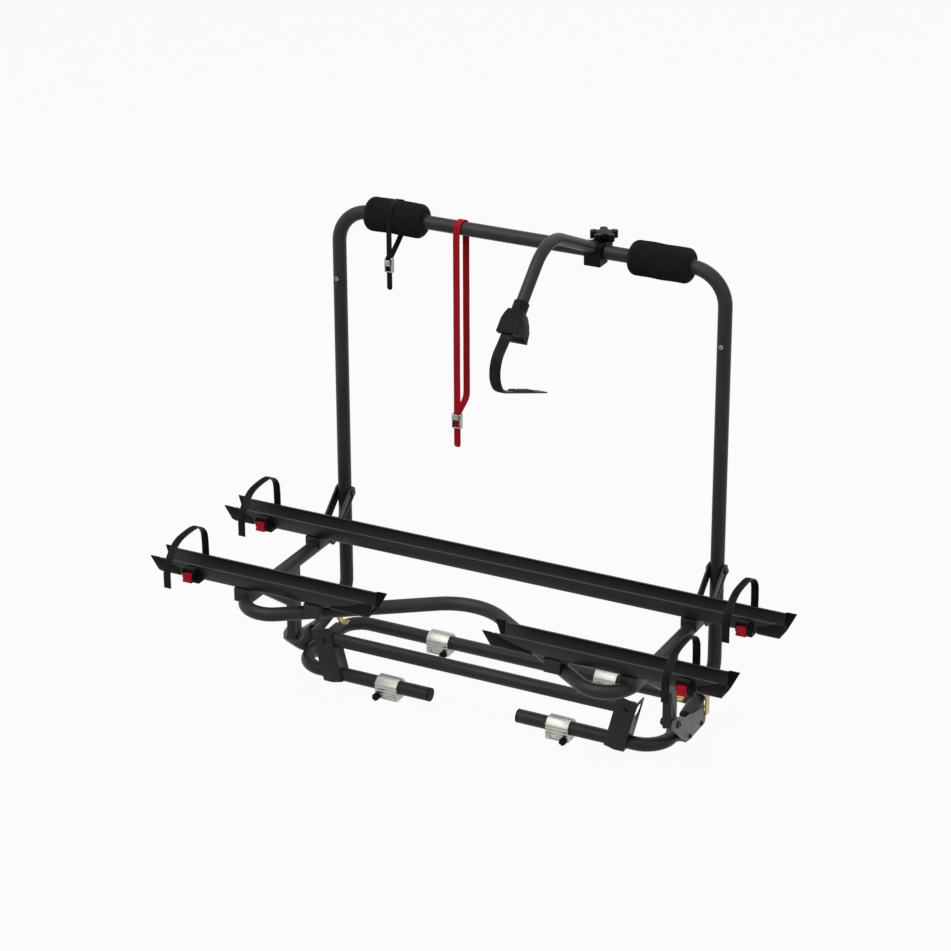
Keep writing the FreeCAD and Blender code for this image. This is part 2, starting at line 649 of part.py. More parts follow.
def foot_hook():
    """A band over the foot, with a drilled flange inboard and a long prong outboard."""
    y, half_w, half_t = s.hook_y, s.hook_width / 2, s.hook_thick / 2
    foot_top = foot_axis_z(y) + tube_r / cosine(s.foot_slope)
    band_z = foot_top + s.part_gap + half_t
    prong_x = s.ear_inner_x + s.ear_thick + s.part_gap + half_t
    band = sweep("XZ", [(s.hook_flange_x, s.hook_flange_z), (s.hook_ramp_x, s.hook_flange_z),
                        (s.hook_shoulder_x, band_z), (prong_x, band_z), (prong_x, s.hook_end_z)],
                 [5, 12, 14], band_section(s.hook_width, s.hook_thick, "y"), (0, -y, 0))
    pad_half = s.hook_pad_width / 2
    pad = span((bar_half - pad_half, bar_half + pad_half), (1 - y - half_w, half_w - 1 - y),
               (foot_top - tube_r / 2, band_z))
    hole = rod(s.hook_hole_d / 2, s.hook_thick * 4,
               (s.hook_flange_x + s.hook_hole_d, -y, s.hook_flange_z - s.hook_thick * 2))
    return cut(fuse(band, pad), foot_rod(tube_r, 0, s.foot_front), hole)


hook = foot_hook()
label(group(mirror(hook), hook), "foot_hooks")

# Base: a rear tube bent forward at both ends and two front tubes bent back
rear = bent_tube("XY", [(-s.side_x, -s.side_tube_end), (-s.side_x, -s.rear_tube_y),
                        (s.side_x, -s.rear_tube_y), (s.side_x, -s.side_tube_end)],
                 [s.base_bend, s.base_bend], (0, 0, s.base_z))
label(rear, "rear_base_tube")
front = bent_tube("XY", [(s.front_tube_inner, -s.front_tube_y), (s.side_x, -s.front_tube_y),
                         (s.side_x, -s.front_tube_end)], [s.front_bend], (0, 0, s.base_z))
both_sides("front_base_tube", front)
cross = cut(rod(tube_r, s.cross_bar_half * 2, (-s.cross_bar_half, -s.front_tube_y, s.cross_bar_z),
                "x"),
            rod(bore_r, s.cross_bar_half * 2, (-s.cross_bar_half, -s.front_tube_y, s.cross_bar_z),
                "x"))
plate_foot_x = s.cross_bar_half - s.plate_inset
plate_bolt_x = plate_foot_x + (s.cross_bar_z - s.base_z) * tangent(s.plate_lean)
plate_bolt_r = s.bracket_bolt_d / 2
plate_holes = [rod(plate_bolt_r + s.slide_gap, tube_r,
                   (x, -s.front_tube_y - tube_r - 1, s.cross_bar_z), "y")
               for x in (-plate_bolt_x, plate_bolt_x)]
label(cut(cross, *plate_holes), "cross_bar")


def link_plate():
    """A leaning channel that wraps the front tube and carries the cross bar's end."""
    width, depth, wall = s.plate_width, s.plate_depth, s.plate_wall
    below = tube_r + 1
    outer = box((width, depth, s.plate_height), (-width / 2, -tube_r - wall, -below))
    inner = box((width - 2 * wall, depth, s.plate_height * 2),
                (wall - width / 2, -tube_r, -below - 10))
    shell = cut(outer, inner)
    leaning = doc.addObject("Part::Compound", "leaning")
    leaning.Links = [shell]
    place(leaning, (plate_foot_x, -s.front_tube_y, s.base_z), (0, 1, 0), s.plate_lean)
    holes = [rod(socket_r, width * 4, (plate_foot_x - width * 2, -s.front_tube_y, z), "x")
             for z in (s.base_z, s.cross_bar_z)]
    bolt_hole = rod(plate_bolt_r + s.slide_gap, tube_r,
                    (plate_bolt_x, -s.front_tube_y - tube_r - wall - 1, s.cross_bar_z), "y")
    floor = span((0, s.side_x), (-s.front_tube_y - depth, depth - s.front_tube_y),
                 (-s.plate_height, s.base_z - tube_r - 1))
    return cut(leaning, *holes, bolt_hole, floor)


plate = link_plate()
label(group(mirror(plate), plate), "link_plates")


def side_bracket():
    """A casting that joins the base tubes at one side and holds the tilt pivot."""
    outer_x = s.ear_inner_x + s.ear_thick
    middle_x = s.ear_inner_x + s.ear_thick / 2
    py, pz = -s.pivot_y, s.pivot_z
    ear = prism("YZ", [(py - s.ear_nose, pz - s.ear_nose_drop), (py - s.ear_brow, pz + s.ear_brow_rise),
                       (py - 1, pz + s.ear_crown), (-s.ear_shoulder_y, s.ear_shoulder_z),
                       (-s.ear_saddle_y, s.ear_saddle_z), (-s.ear_hump_y, s.ear_hump_z),
                       (-s.cradle_back, s.ear_heel_z), (-s.ear_toe_y, s.ear_toe_z),
                       (-s.ear_sole_y, s.ear_sole_z), (-s.ear_belly_y, s.ear_sole_z - 1),
                       (-s.ear_throat_y, s.ear_throat_z), (py - 1, pz - s.ear_chin)],
                s.ear_thick, (middle_x, 0, 0))
    ear = rounded(ear, s.ear_round, lambda edge: along_axis(edge, "x"))
    shell_r = tube_r + s.socket_wall
    socket = rod(shell_r, s.socket_front - s.socket_back, (s.side_x, -s.socket_front, s.base_z), "y")
    rest = rod(shell_r, s.socket_back - s.cradle_back, (s.side_x, -s.socket_back, s.base_z), "y")
    upper = span((s.side_x - shell_r * 2, s.side_x + shell_r), (-s.socket_back, -s.cradle_back + 1),
                 (s.base_z, s.base_z + shell_r * 2))
    web = span((s.side_x, s.ear_inner_x + 1), (-s.socket_front, -s.cradle_back),
               (s.base_z - 15, s.base_z - 3))
    bore = rod(socket_r, s.socket_front, (s.side_x, -s.socket_front * 1.25, s.base_z), "y")
    groove_r, groove_y = tube_r + s.part_gap, s.foot_front + 1
    groove = foot_rod(groove_r, 1, s.foot_front)
    back_y, high_z = s.cradle_back / 2, pz * 2
    way_out = prism("YZ", [(-groove_y, foot_axis_z(groove_y)), (-back_y, foot_axis_z(back_y)),
                           (-back_y, high_z), (-groove_y, high_z)], groove_r * 2, (bar_half, 0, 0))
    holes = [rod(pivot_r + s.socket_gap, s.ear_thick * 3, (s.ear_inner_x - 8, py, pz), "x")]
    for y, z in bracket_bolt_places:
        hole_r = s.bracket_bolt_d / 2 + s.slide_gap
        holes.append(rod(hole_r, s.ear_thick * 3, (outer_x - s.ear_thick * 2.5, y, z), "x"))
    return cut(fuse(ear, socket, cut(rest, upper), web), bore, groove, way_out, *holes)


bracket_bolt_places = [(-s.side_tube_end + 12, s.base_z + 3), (2 - s.socket_front, s.base_z + 1)]
both_sides("side_bracket", side_bracket())


def base_bolts():
    """The bracket's two set bolts, the tilt pivot bolt and the link plate's bolt."""
    outer_x = s.ear_inner_x + s.ear_thick
    bolts = []
    for y, z in bracket_bolt_places:
        tip_x = s.ear_inner_x + 0.5
        head = rod(s.bracket_bolt_head_d / 2, s.bracket_bolt_head, (outer_x, y, z), "x")
        bolts.append(fuse(head, rod(s.bracket_bolt_d / 2, outer_x - tip_x + 1, (tip_x, y, z), "x")))
    nut_x = bar_half - s.leg_width / 2 - 8
    pivot_end = outer_x + 5
    shank = rod(pivot_r, pivot_end - nut_x, (nut_x, -s.pivot_y, s.pivot_z), "x")
    head = rod(s.pivot_d * 0.85, 5, (outer_x, -s.pivot_y, s.pivot_z), "x")
    nut = rod(s.pivot_d * 0.85, 7, (nut_x, -s.pivot_y, s.pivot_z), "x")
    bolts.append(fuse(shank, head, nut))
    face_y = -s.front_tube_y - tube_r - s.plate_wall
    head = rod(s.bracket_bolt_head_d / 2, s.bracket_bolt_head,
               (plate_bolt_x, face_y - s.bracket_bolt_head, s.cross_bar_z), "y")
    shank = rod(plate_bolt_r, s.plate_wall + s.tube_wall + 4,
                (plate_bolt_x, face_y - 1, s.cross_bar_z), "y")
    bolts.append(fuse(head, shank))
    return bolts


label(group(*[piece for bolt in base_bolts() for piece in (bolt, mirror(bolt))]), "base_bolts")


def tube_plugs():
    """Plastic plugs in the open ends of the front tubes and the rear tube."""
    rim, depth = s.plug_rim, s.plug_depth
    stem_r = bore_r - s.socket_gap
    front_plug = fuse(rod(tube_r, rim, (s.front_tube_inner - rim, -s.front_tube_y, s.base_z), "x"),
                      rod(stem_r, depth + 1, (s.front_tube_inner - 1, -s.front_tube_y, s.base_z), "x"))
    side_plug = fuse(rod(tube_r, rim, (s.side_x, -s.side_tube_end - rim, s.base_z), "y"),
                     rod(stem_r, depth + 1, (s.side_x, -s.side_tube_end - 1, s.base_z), "y"))
    return [front_plug, mirror(front_plug), side_plug, mirror(side_plug)]


label(group(*tube_plugs()), "base_tube_plugs")


# Drawbar clamps: two jaws around the base tube, drawn together under it
def drawbar_clamp(name, x, y, knob_side):
    """One clamp; the knob is at the end that knob_side points to."""
    half_l, half_w, half_split = s.clamp_length / 2, s.clamp_width / 2, s.clamp_split / 2
    knob_x = x + knob_side * s.clamp_bolt_offset
    plain_x = x - knob_side * s.clamp_bolt_offset
    bolt_r = s.clamp_bolt_d / 2
    bore = (slide_r, s.clamp_length * 2, (x - s.clamp_length, y, s.base_z), "x")

    def jaw(inner, face):
        top, bevel, foot = s.clamp_height, s.clamp_chamfer, s.clamp_chamfer / 3
        away = as_size(-1 if face is front_face else 1)
        block = prism("YZ", [(inner, 0), (face - away * foot, 0), (face, foot), (face, top - bevel),
                             (face - away * bevel, top), (inner, top)], s.clamp_length, (x, 0, 0))
        tools = [rod(*bore)]
        for hole_x in (knob_x, plain_x):
            tools.append(rod(bolt_r + s.slide_gap, s.clamp_width * 2,
                             (hole_x, y - s.clamp_width, s.clamp_bolt_z), "y"))
        for i in range(3):
            z = s.clamp_bolt_z + s.clamp_rib_pitch * (i + 1) - 2
            rib = s.clamp_rib
            tools.append(span((x - half_l - 1, x + half_l + 1), (face - rib / 2, face + rib / 2),
                              (z, z + rib)))
        return cut(block, *tools)

    front_face, rear_face = y - half_w, y + half_w
    label(jaw(y - half_split, front_face), name + "_front_jaw")
    rear_jaw = jaw(y + half_split, rear_face)
    head = rod(bolt_r * 1.7, 3, (plain_x, front_face - 3, s.clamp_bolt_z), "y")
    nut = rod(bolt_r * 1.7, 3, (plain_x, rear_face, s.clamp_bolt_z), "y")
    shank = rod(bolt_r, s.clamp_width + 4, (plain_x, front_face - 2, s.clamp_bolt_z), "y")
    label(group(rear_jaw, fuse(head, nut, shank)), name + "_rear_jaw")
    knob_y = front_face - s.clamp_knob_length - 0.3
    knob = rod(s.clamp_knob_d / 2, s.clamp_knob_length, (knob_x, knob_y, s.clamp_bolt_z), "y")
    stem = rod(bolt_r, s.clamp_width + 6, (knob_x, front_face - 2, s.clamp_bolt_z), "y")
    flutes = []
    for i in range(6):
        turn = 60 * i
        reach = s.clamp_knob_d / 2
        flutes.append(rod(1.6, s.clamp_knob_length * 2,
                          (knob_x + reach * math.cos(math.radians(turn)), knob_y - 5,
                           s.clamp_bolt_z + reach * math.sin(math.radians(turn))), "y"))
    label(fuse(cut(knob, *flutes), stem), name + "_knob")


drawbar_clamp("front_left_clamp", -s.clamp_x, -s.front_tube_y, -1)
drawbar_clamp("front_right_clamp", s.clamp_x, -s.front_tube_y, 1)
drawbar_clamp("rear_left_clamp", -s.clamp_x, -s.rear_tube_y, 1)
drawbar_clamp("rear_right_clamp", s.clamp_x, -s.rear_tube_y, -1)


# Foam pads on the top bar
def foam_pad():
    """A thick foam sleeve with rounded ends."""
    start_x = s.pad_inner_x
    sleeve = rod(s.pad_d / 2, s.pad_length, (start_x, 0, s.bar_z), "x")
    soft = rounded(sleeve, s.pad_round, lambda edge: edge.Curve.TypeId == "Part::GeomCircle")
    return cut(soft, rod(tube_r + s.part_gap, s.pad_length * 2,
                         (start_x - s.pad_length / 2, 0, s.bar_z), "x"))


both_sides("foam_pad", foam_pad())


# Webbing straps and their cam buckles
def cam_buckle(name, x, y, z):
    """Two cheeks on two bars, and a cam lever between the cheeks."""
    inner = s.web_width / 2 + 0.6
    outer = inner + s.buckle_cheek
    half_h, half_d = s.buckle_height / 2, s.buckle_depth / 2
    cheeks = [span((x + side * inner, x + side * outer) if side > 0 else (x - outer, x - inner),
                   (y - half_d, y + half_d), (z - half_h, z + half_h)) for side in (-1, 1)]
    bars = [rod(1.5, outer * 2, (x - outer, y + half_d - 2, z + lift), "x")
            for lift in (half_h - 3, 3 - half_h)]
    pin = rod(1.5, outer * 2, (x - outer, y - s.web_thick / 2 - s.cam_r, z), "x")
    label(fuse(*cheeks, *bars, pin), name + "_buckle")
    cam_y = y - s.web_thick / 2 - s.cam_r
    cam = rod(s.cam_r - 0.1, inner * 2 - 0.6, (x - inner + 0.3, cam_y, z), "x")
    thumb = span((x - inner + 0.3, x + inner - 0.3), (cam_y - s.cam_r - 1.5, cam_y - s.cam_r + 1),
                 (z - 1, z + half_h - 1))
    web = span((x - inner + 0.3, x + inner - 0.3), (cam_y - s.cam_r, cam_y - 2), (z - 1, z + 3))
    bore = rod(1.5 + s.slide_gap, outer * 3, (x - outer * 1.5, cam_y, z), "x")
    label(cut(fuse(cam, thumb, web), bore), name + "_cam")


web_section = band_section(s.web_width, s.web_thick)
pad_loop_r = s.pad_d / 2 + s.part_gap + s.web_thick / 2
loop_top = s.bar_z + pad_loop_r
loop_bend = pad_loop_r - 0.05
bar_lift = s.buckle_height / 2 - 3
seam_y = s.buckle_depth / 2 - 2 - pad_loop_r
leave_z = s.bar_z - pad_loop_r * tangent(s.pad_strap_lean / 2)
seam_z = leave_z - (pad_loop_r - seam_y) / tangent(s.pad_strap_lean)
pad_strap = sweep("YZ", [(-pad_loop_r, s.pad_tail_z), (-pad_loop_r, loop_top), (pad_loop_r, loop_top),
                         (pad_loop_r, leave_z), (seam_y, seam_z)],
                  [loop_bend, loop_bend, loop_bend], web_section, (-s.pad_strap_x, 0, 0))
label(pad_strap, "pad_strap")
cam_buckle("pad", -s.pad_strap_x, -pad_loop_r, seam_z - bar_lift - 2.5)

red_top = s.bar_z + tube_r + s.part_gap + s.web_thick / 2
red_bend = s.red_sag - 0.05
red_seam_y = s.buckle_depth / 2 - 2 - s.red_sag
red_strap = sweep("YZ", [(-s.red_sag, s.red_tail_z), (-s.red_sag, red_top), (s.red_sag, red_top),
                         (s.red_sag, s.red_buckle_z + 42),
                         (red_seam_y, s.red_buckle_z + bar_lift + 2.5)],
                  [red_bend, red_bend, 20], web_section, (-s.red_strap_x, 0, 0))
label(red_strap, "red_strap")
cam_buckle("red", -s.red_strap_x, -s.red_sag, s.red_buckle_z)

# Frame holder arm
liner_r = slide_r + s.liner_wall
liner = cut(rod(liner_r, s.liner_length, (s.arm_x - s.liner_length / 2, 0, s.bar_z), "x"),
            rod(slide_r, s.liner_length * 2, (s.arm_x - s.liner_length, 0, s.bar_z), "x"))
label(liner, "arm_liner")

arm_angle = slope_angle(s.arm_rise - s.arm_start_rise, s.arm_reach - s.arm_start)
arm_tip_y = s.arm_reach + s.arm_tip
arm_tip_z = s.bar_z + s.arm_rise - s.arm_drop
arm_lean = slope_angle(s.arm_tip, s.arm_drop)
arm_r = s.arm_tube_d / 2
arm_tube = sweep("YZ", [(-s.arm_start, s.bar_z + s.arm_start_rise),
                        (-s.arm_reach, s.bar_z + s.arm_rise),
                        (-arm_tip_y - s.head_plug * sine(arm_lean),
                         arm_tip_z - s.head_plug * cosine(arm_lean))],
                 [s.arm_bend], ring_section(arm_r, arm_r - s.tube_wall), (s.arm_x, 0, 0))
label(arm_tube, "arm_tube")


def slanted_rod(radius, length):
    """A cylinder about the arm's first run, starting at the arm's lower end."""
    obj = doc.addObject("Part::Cylinder", "rod")
    obj.setExpression("Radius", radius.text)
    obj.setExpression("Height", length.text)
    return place(obj, (s.arm_x, -s.arm_start, s.bar_z + s.arm_start_rise), (1, 0, 0), 90 - arm_angle)


def arm_clamp():
    """A block round the bar with a pinch slot behind and a socket for the arm in front."""
    half = s.arm_clamp_width / 2
    front, rear, above = -s.arm_clamp_front, s.arm_clamp_rear, s.arm_clamp_above
    side = [(front, -s.arm_clamp_below), (12, -s.arm_clamp_below), (15, -18), (rear, -18),
            (rear, above - 2), (8, above - 2), (6, above), (-14, above), (front, above - 6)]
    block = prism("YZ", side, s.arm_clamp_width, (s.arm_x, 0, s.bar_z))
    block = rounded(block, 1.5, lambda edge: along_axis(edge, "x"))
    boss = slanted_rod(s.arm_boss_r, s.arm_start / 2)
    seat = slanted_rod(arm_r + s.socket_gap, s.arm_start * 4)
    bore = rod(liner_r + s.slide_gap, s.arm_clamp_width * 2,
               (s.arm_x - s.arm_clamp_width, 0, s.bar_z), "x")
    slot = span((s.arm_x - half - 1, s.arm_x + half + 1), (liner_r - 1, rear + 1),
                (s.bar_z - 1.5, s.bar_z + 1.5))
    bolt = rod(s.knob_bolt_d / 2 + s.slide_gap, s.arm_clamp_rear * 3,
               (s.knob_x, s.knob_bolt_y, s.bar_z - s.arm_clamp_rear * 1.5))
    screw = rod(s.arm_screw_d / 2, s.arm_screw_h, (s.arm_screw_x, -s.arm_screw_y, s.bar_z + above))
    return group(cut(fuse(block, boss), seat, bore, slot, bolt), screw)


label(arm_clamp(), "arm_clamp")


def star_knob():
    """A five-lobed knob on the bolt that pinches the clamp."""
    under = s.bar_z + s.arm_clamp_above - 2 + s.part_gap
    hub = rod(s.knob_r, s.knob_height, (s.knob_x, s.knob_bolt_y, under))
    foot = s.knob_lift
    lobes = []
    for i in range(5):
        turn = math.radians(117 + 72 * i)
        reach_x, reach_y = s.knob_lobe_reach * math.cos(turn), s.knob_lobe_reach * math.sin(turn)
        lobes.append(rod(s.knob_lobe_r, s.knob_height - foot,
                         (s.knob_x + reach_x, s.knob_bolt_y + reach_y, under + foot)))
    low_z = s.bar_z - 18 - 6
    bolt = rod(s.knob_bolt_d / 2, under - low_z + 2, (s.knob_x, s.knob_bolt_y, low_z))
    nut = rod(s.knob_bolt_d * 0.8, 5.5, (s.knob_x, s.knob_bolt_y, low_z))
    return fuse(hub, bolt, nut, *lobes)


label(star_knob(), "star_knob")

head_angle = -arm_lean
head_at = (s.arm_x, -arm_tip_y, arm_tip_z)


def arm_head():
    """A flared plastic jaw that turns on the end of the arm."""
    neck_r, length = s.head_neck_r, s.head_length
    side = [(-neck_r, -34), (neck_r, -34), (25, -44), (35, -58), (43, 9 - length), (-20, -length),
            (-20, -60), (-18, -45)]
    wide, narrow = s.head_width / 2, s.head_top_width / 2
    face = [(-narrow, -32), (narrow, -32), (wide - 2, -46), (wide, -58), (wide, -length - 1),
            (-wide, -length - 1), (-wide, -58), (2 - wide, -46)]
    flare = doc.addObject("Part::MultiCommon", "flare")
    flare.Shapes = [prism("YZ", side, s.head_width * 2), prism("XZ", face, length * 2)]
    collar = rod(neck_r, s.head_collar, (0, 0, -46))
    mouth = rod(s.head_mouth_r, s.head_width * 2, (-s.head_width, 16, -length - 24), "x")
    seat = rod(arm_r + s.slide_gap, s.head_plug * 2, (0, 0, -s.head_plug))
    slot_w, slot_t = s.frame_strap_width / 2 + 0.3, s.frame_strap_thick / 2 + 0.3
    slot = span((-slot_w, slot_w), (-strap_y - slot_t, slot_t - strap_y), (-length - 5, -strap_z))
    jaw = doc.addObject("Part::Compound", "jaw")
    jaw.Links = [cut(fuse(flare, collar), mouth, seat, slot)]
    return place(jaw, head_at, (1, 0, 0), head_angle)


strap_y, strap_z = s.frame_strap_seat, s.head_length - 20
label(arm_head(), "arm_head")
frame_strap = sweep("YZ", [(-strap_y, -strap_z - 0.1), (-strap_y, -strap_z - s.frame_strap_lead),
                           (-s.frame_strap_belly, -s.frame_strap_low),
                           (s.frame_strap_tip, -s.frame_strap_tip_z)],
                    [s.frame_strap_bend, s.frame_strap_turn],
                    band_section(s.frame_strap_width, s.frame_strap_thick))
placed_strap = doc.addObject("Part::Compound", "placed_strap")
placed_strap.Links = [frame_strap]
label(place(placed_strap, head_at, (1, 0, 0), head_angle), "arm_strap")


# Wheel straps: a carriage that slides on the rail, a ratchet strap and a red lever
def wheel_strap(name, x, y, low):
    """The three pieces of one wheel strap, placed about the rail's underside."""
    a = half_rail
    gap, wall = s.part_gap, s.carriage_wall
    middle = x + s.buckle_shift
    half = s.carriage_width / 2
    tall = s.rail_height - s.carriage_drop
    saddle_block = span((middle - half, middle + half), (-y - a - wall, a + wall - y),
                        (low - wall, low + tall))
    channel = prism("YZ", rail_envelope(gap, s.rail_height * 2), half * 3, (middle, -y, low))
    front_y = -y - a - wall
    pin_y, pin_z = -y - a - s.lever_pin_y, low + s.lever_pin_z
    bh, lh = s.buckle_half, s.lever_half
    hood_z = low + s.hood_height
    backing = span((middle - bh, middle + bh), (front_y - s.backing_thick, front_y), (low + 2, hood_z))
    hood = span((middle - bh, middle + bh), (front_y - s.hood_depth, front_y),
                (pin_z + s.hood_gap, hood_z))
    cheeks = []
    for inner, outer in ((lh + gap, bh), (-bh, -lh - gap)):
        cheeks.append(span((middle + inner, middle + outer), (front_y - s.cheek_depth, front_y),
                           (pin_z - s.cheek_drop, hood_z - 1)))
    pin = rod(s.lever_pin_r, bh * 2, (middle - bh, pin_y, pin_z), "x")
    label(fuse(cut(saddle_block, channel), backing, hood, *cheeks, pin), name + "_buckle")
    barrel = rod(s.lever_pin_r * 2, lh * 2, (middle - lh, pin_y, pin_z), "x")
    low_z, high_z = pin_z - s.lever_drop, pin_z + s.lever_rise
    face_y = pin_y - s.lever_reach
    web = span((middle - lh, middle + lh), (face_y, pin_y), (pin_z - s.lever_rise, high_z))
    plate = span((middle - lh, middle + lh), (face_y, face_y + s.lever_thick), (low_z, high_z))
    thumb = span((middle - s.lever_pad_half, middle + s.lever_pad_half),
                 (face_y, face_y + s.lever_thick), (low_z, low_z + s.lever_drop / 3))
    bore = rod(s.lever_pin_r + s.slide_gap, bh * 4, (middle - bh * 2, pin_y, pin_z), "x")
    label(cut(fuse(barrel, web, plate, thumb), bore), name + "_lever")
    band = band_section(s.strap_width, s.strap_thick)
    root_y = a + wall + s.strap_thick / 2 + 0.1
    peak, reach = s.strap_peak, s.strap_front
    strap = sweep("YZ", [(root_y, 4), (root_y, s.strap_shoulder), (-6, peak - 1), (-72, peak - 3),
                         (-reach, peak - 51), (-reach, s.strap_tail_z)],
                  [48, 56, 52, 36], band, (x, -y, low))
    label(strap, name + "_strap")


strap_x = s.rail_half - s.strap_inset
for side_name, side in (("left", -1), ("right", 1)):
    wheel_strap("back_%s_wheel" % side_name, side * strap_x, s.back_rail_y, back_z)
    wheel_strap("front_%s_wheel" % side_name, side * strap_x, s.front_rail_y, front_z)

doc.recompute()
faults = ["%s %s" % (obj.Label, obj.State) for obj in doc.Objects
          if "Invalid" in obj.State or "Error" in obj.State]
for name, obj in made.items():
    if obj.Shape.isNull() or not obj.Shape.isValid():
        faults.append("%s has no valid shape" % name)
if faults:
    raise RuntimeError("; ".join(faults))

os.makedirs("parts", exist_ok=True)
for name, obj in made.items():
    obj.Shape.exportStep(os.path.join("parts", name + ".step"))
print("%d sub-parts written" % len(made))
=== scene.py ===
import math
import bpy
from mathutils import Matrix, Vector


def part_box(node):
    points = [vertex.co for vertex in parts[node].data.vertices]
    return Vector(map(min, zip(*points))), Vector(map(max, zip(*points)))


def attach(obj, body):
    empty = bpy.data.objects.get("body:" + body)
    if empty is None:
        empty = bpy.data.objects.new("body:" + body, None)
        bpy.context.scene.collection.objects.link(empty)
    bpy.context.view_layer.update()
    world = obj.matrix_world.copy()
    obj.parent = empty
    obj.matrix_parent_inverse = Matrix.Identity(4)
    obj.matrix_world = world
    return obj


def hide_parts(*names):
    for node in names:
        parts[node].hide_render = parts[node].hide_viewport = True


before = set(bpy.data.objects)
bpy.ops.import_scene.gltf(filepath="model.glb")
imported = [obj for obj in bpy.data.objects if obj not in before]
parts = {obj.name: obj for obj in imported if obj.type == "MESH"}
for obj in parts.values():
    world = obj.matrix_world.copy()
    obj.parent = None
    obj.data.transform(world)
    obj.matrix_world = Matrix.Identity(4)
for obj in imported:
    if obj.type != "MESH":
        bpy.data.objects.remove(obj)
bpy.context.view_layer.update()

hoopY = 0.2465      # the hoop stands this far behind the origin
barZ = 1.0          # middle of the top bar
hoopX = 0.4465      # middle of the right-hand leg

# the two woven tapes, and the names and sides of the clamps and wheel straps
webTape = {"thick": 0.0015, "pad": {"x": -0.306, "width": 0.0125}, "red": {"x": -0.156, "width": 0.0155}}
sides = (("left", -1), ("right", 1))
clamps = ["%s_%s_clamp" % (row, side) for row in ("front", "rear") for side, way in sides]
wheelSpots = [(row, side, way) for row in ("back", "front") for side, way in sides]
wheels = ["%s_%s_wheel" % (row, side) for row, side, way in wheelSpots]


# camera and light
photoView = {"place": (2.71757, -5.30308, 3.20275), "turn": (66.1009, 0.1801, 27.0162), "lens": 119.643,
             "sensor": 36, "reach": 200}
bpy.ops.object.camera_add(location=photoView["place"], rotation=[math.radians(a) for a in photoView["turn"]])
photoCamera = bpy.context.object
photoCamera.name = "photoCamera"
photoCamera.data.lens = photoView["lens"]
photoCamera.data.sensor_width = photoView["sensor"]
photoCamera.data.clip_end = photoView["reach"]
scene = bpy.context.scene
scene.camera = photoCamera
scene.view_settings.view_transform = "Standard"

lampAim = Vector((0, 0.1, 0.45))
lamps = {
    "keyLamp": {"place": (-1.6, -2.6, 5.4), "size": 5.0, "power": 250},
    "fillLamp": {"place": (4.2, -2.0, 3.8), "size": 4.5, "power": 60},
    "rearLamp": {"place": (0.6, 4.0, 4.4), "size": 4.5, "power": 55},
}
for lampName, lamp in lamps.items():
    aim = (lampAim - Vector(lamp["place"])).to_track_quat("-Z", "Y").to_euler()
    bpy.ops.object.light_add(type="AREA", location=lamp["place"], rotation=aim)
    light = bpy.context.object
    light.name = lampName
    light.data.size = lamp["size"]
    light.data.energy = lamp["power"]


# small helpers
def only(obj):
    # deselects everything, then picks one object
    if bpy.context.object and bpy.context.object.mode != "OBJECT":
        bpy.ops.object.mode_set(mode="OBJECT")
    bpy.ops.object.select_all(action="DESELECT")
    if obj is not None:
        obj.select_set(True)
        bpy.context.view_layer.objects.active = obj


def addedObject(name):
    obj = bpy.context.object
    obj.name = name
    obj.data.name = name
    return obj


def bakePlace(obj):
    only(obj)
    bpy.ops.object.transform_apply(location=True, rotation=True, scale=True)
    return obj


def block(name, middle, size):
    # a box from its middle and its three sizes
    only(None)
    bpy.ops.mesh.primitive_cube_add(size=1, location=middle, scale=size)
    return bakePlace(addedObject(name))


def barAcross(name, corners, radius, length, middle):
    # a bar that lies along X
    only(None)
    bpy.ops.mesh.primitive_cylinder_add(vertices=corners, radius=radius, depth=length, location=middle,
                                        rotation=(0, math.pi / 2, 0))
    return bakePlace(addedObject(name))


def sliced(plane, normal):
    # cuts the whole mesh that is being edited at a plane
    bpy.ops.mesh.select_all(action="SELECT")
    bpy.ops.mesh.bisect(plane_co=plane, plane_no=normal)


def bakeModifiers(obj):
    only(obj)
    for modifier in list(obj.modifiers):
        bpy.ops.object.modifier_apply(modifier=modifier.name)
    return obj


def nothingPicked(obj, kind):
    # in object mode, ready for FACE or EDGE picks
    only(obj)
    bpy.ops.object.mode_set(mode="EDIT")
    bpy.ops.mesh.select_mode(type=kind)
    bpy.ops.mesh.select_all(action="DESELECT")
    bpy.ops.object.mode_set(mode="OBJECT")


def pickFaces(obj, wanted):
    # leaves the object in edit mode with the faces that wanted(face) names
    nothingPicked(obj, "FACE")
    for face in obj.data.polygons:
        face.select = bool(wanted(face))
    bpy.ops.object.mode_set(mode="EDIT")


def pickEdges(obj, wanted):
    # the same with edges; wanted(a, b) gets the places of both ends
    nothingPicked(obj, "EDGE")
    points = obj.data.vertices
    for edge in obj.data.edges:
        edge.select = bool(wanted(points[edge.vertices[0]].co, points[edge.vertices[1]].co))
    bpy.ops.object.mode_set(mode="EDIT")


def done(obj):
    if bpy.context.object.mode != "OBJECT":
        bpy.ops.object.mode_set(mode="OBJECT")
    return obj


def joined(name, pieces):
    only(pieces[0])
    for piece in pieces:
        piece.select_set(True)
    bpy.context.view_layer.objects.active = pieces[0]
    if len(pieces) > 1:
        bpy.ops.object.join()
    return bakePlace(addedObject(name))


def mirrored(pieces, name):
    # copies with their own meshes, on the other side of the rack
    twins = []
    for piece in pieces:
        only(piece)
        bpy.ops.object.duplicate(linked=False)
        twin = addedObject(name)
        twin.scale[0] = -1
        bakePlace(twin)
        bpy.ops.object.mode_set(mode="EDIT")
        bpy.ops.mesh.select_all(action="SELECT")
        bpy.ops.mesh.flip_normals()
        twins.append(done(twin))
    return twins


def smoothed(obj, angle):
    only(obj)
    bpy.ops.object.shade_smooth_by_angle(angle=math.radians(angle))


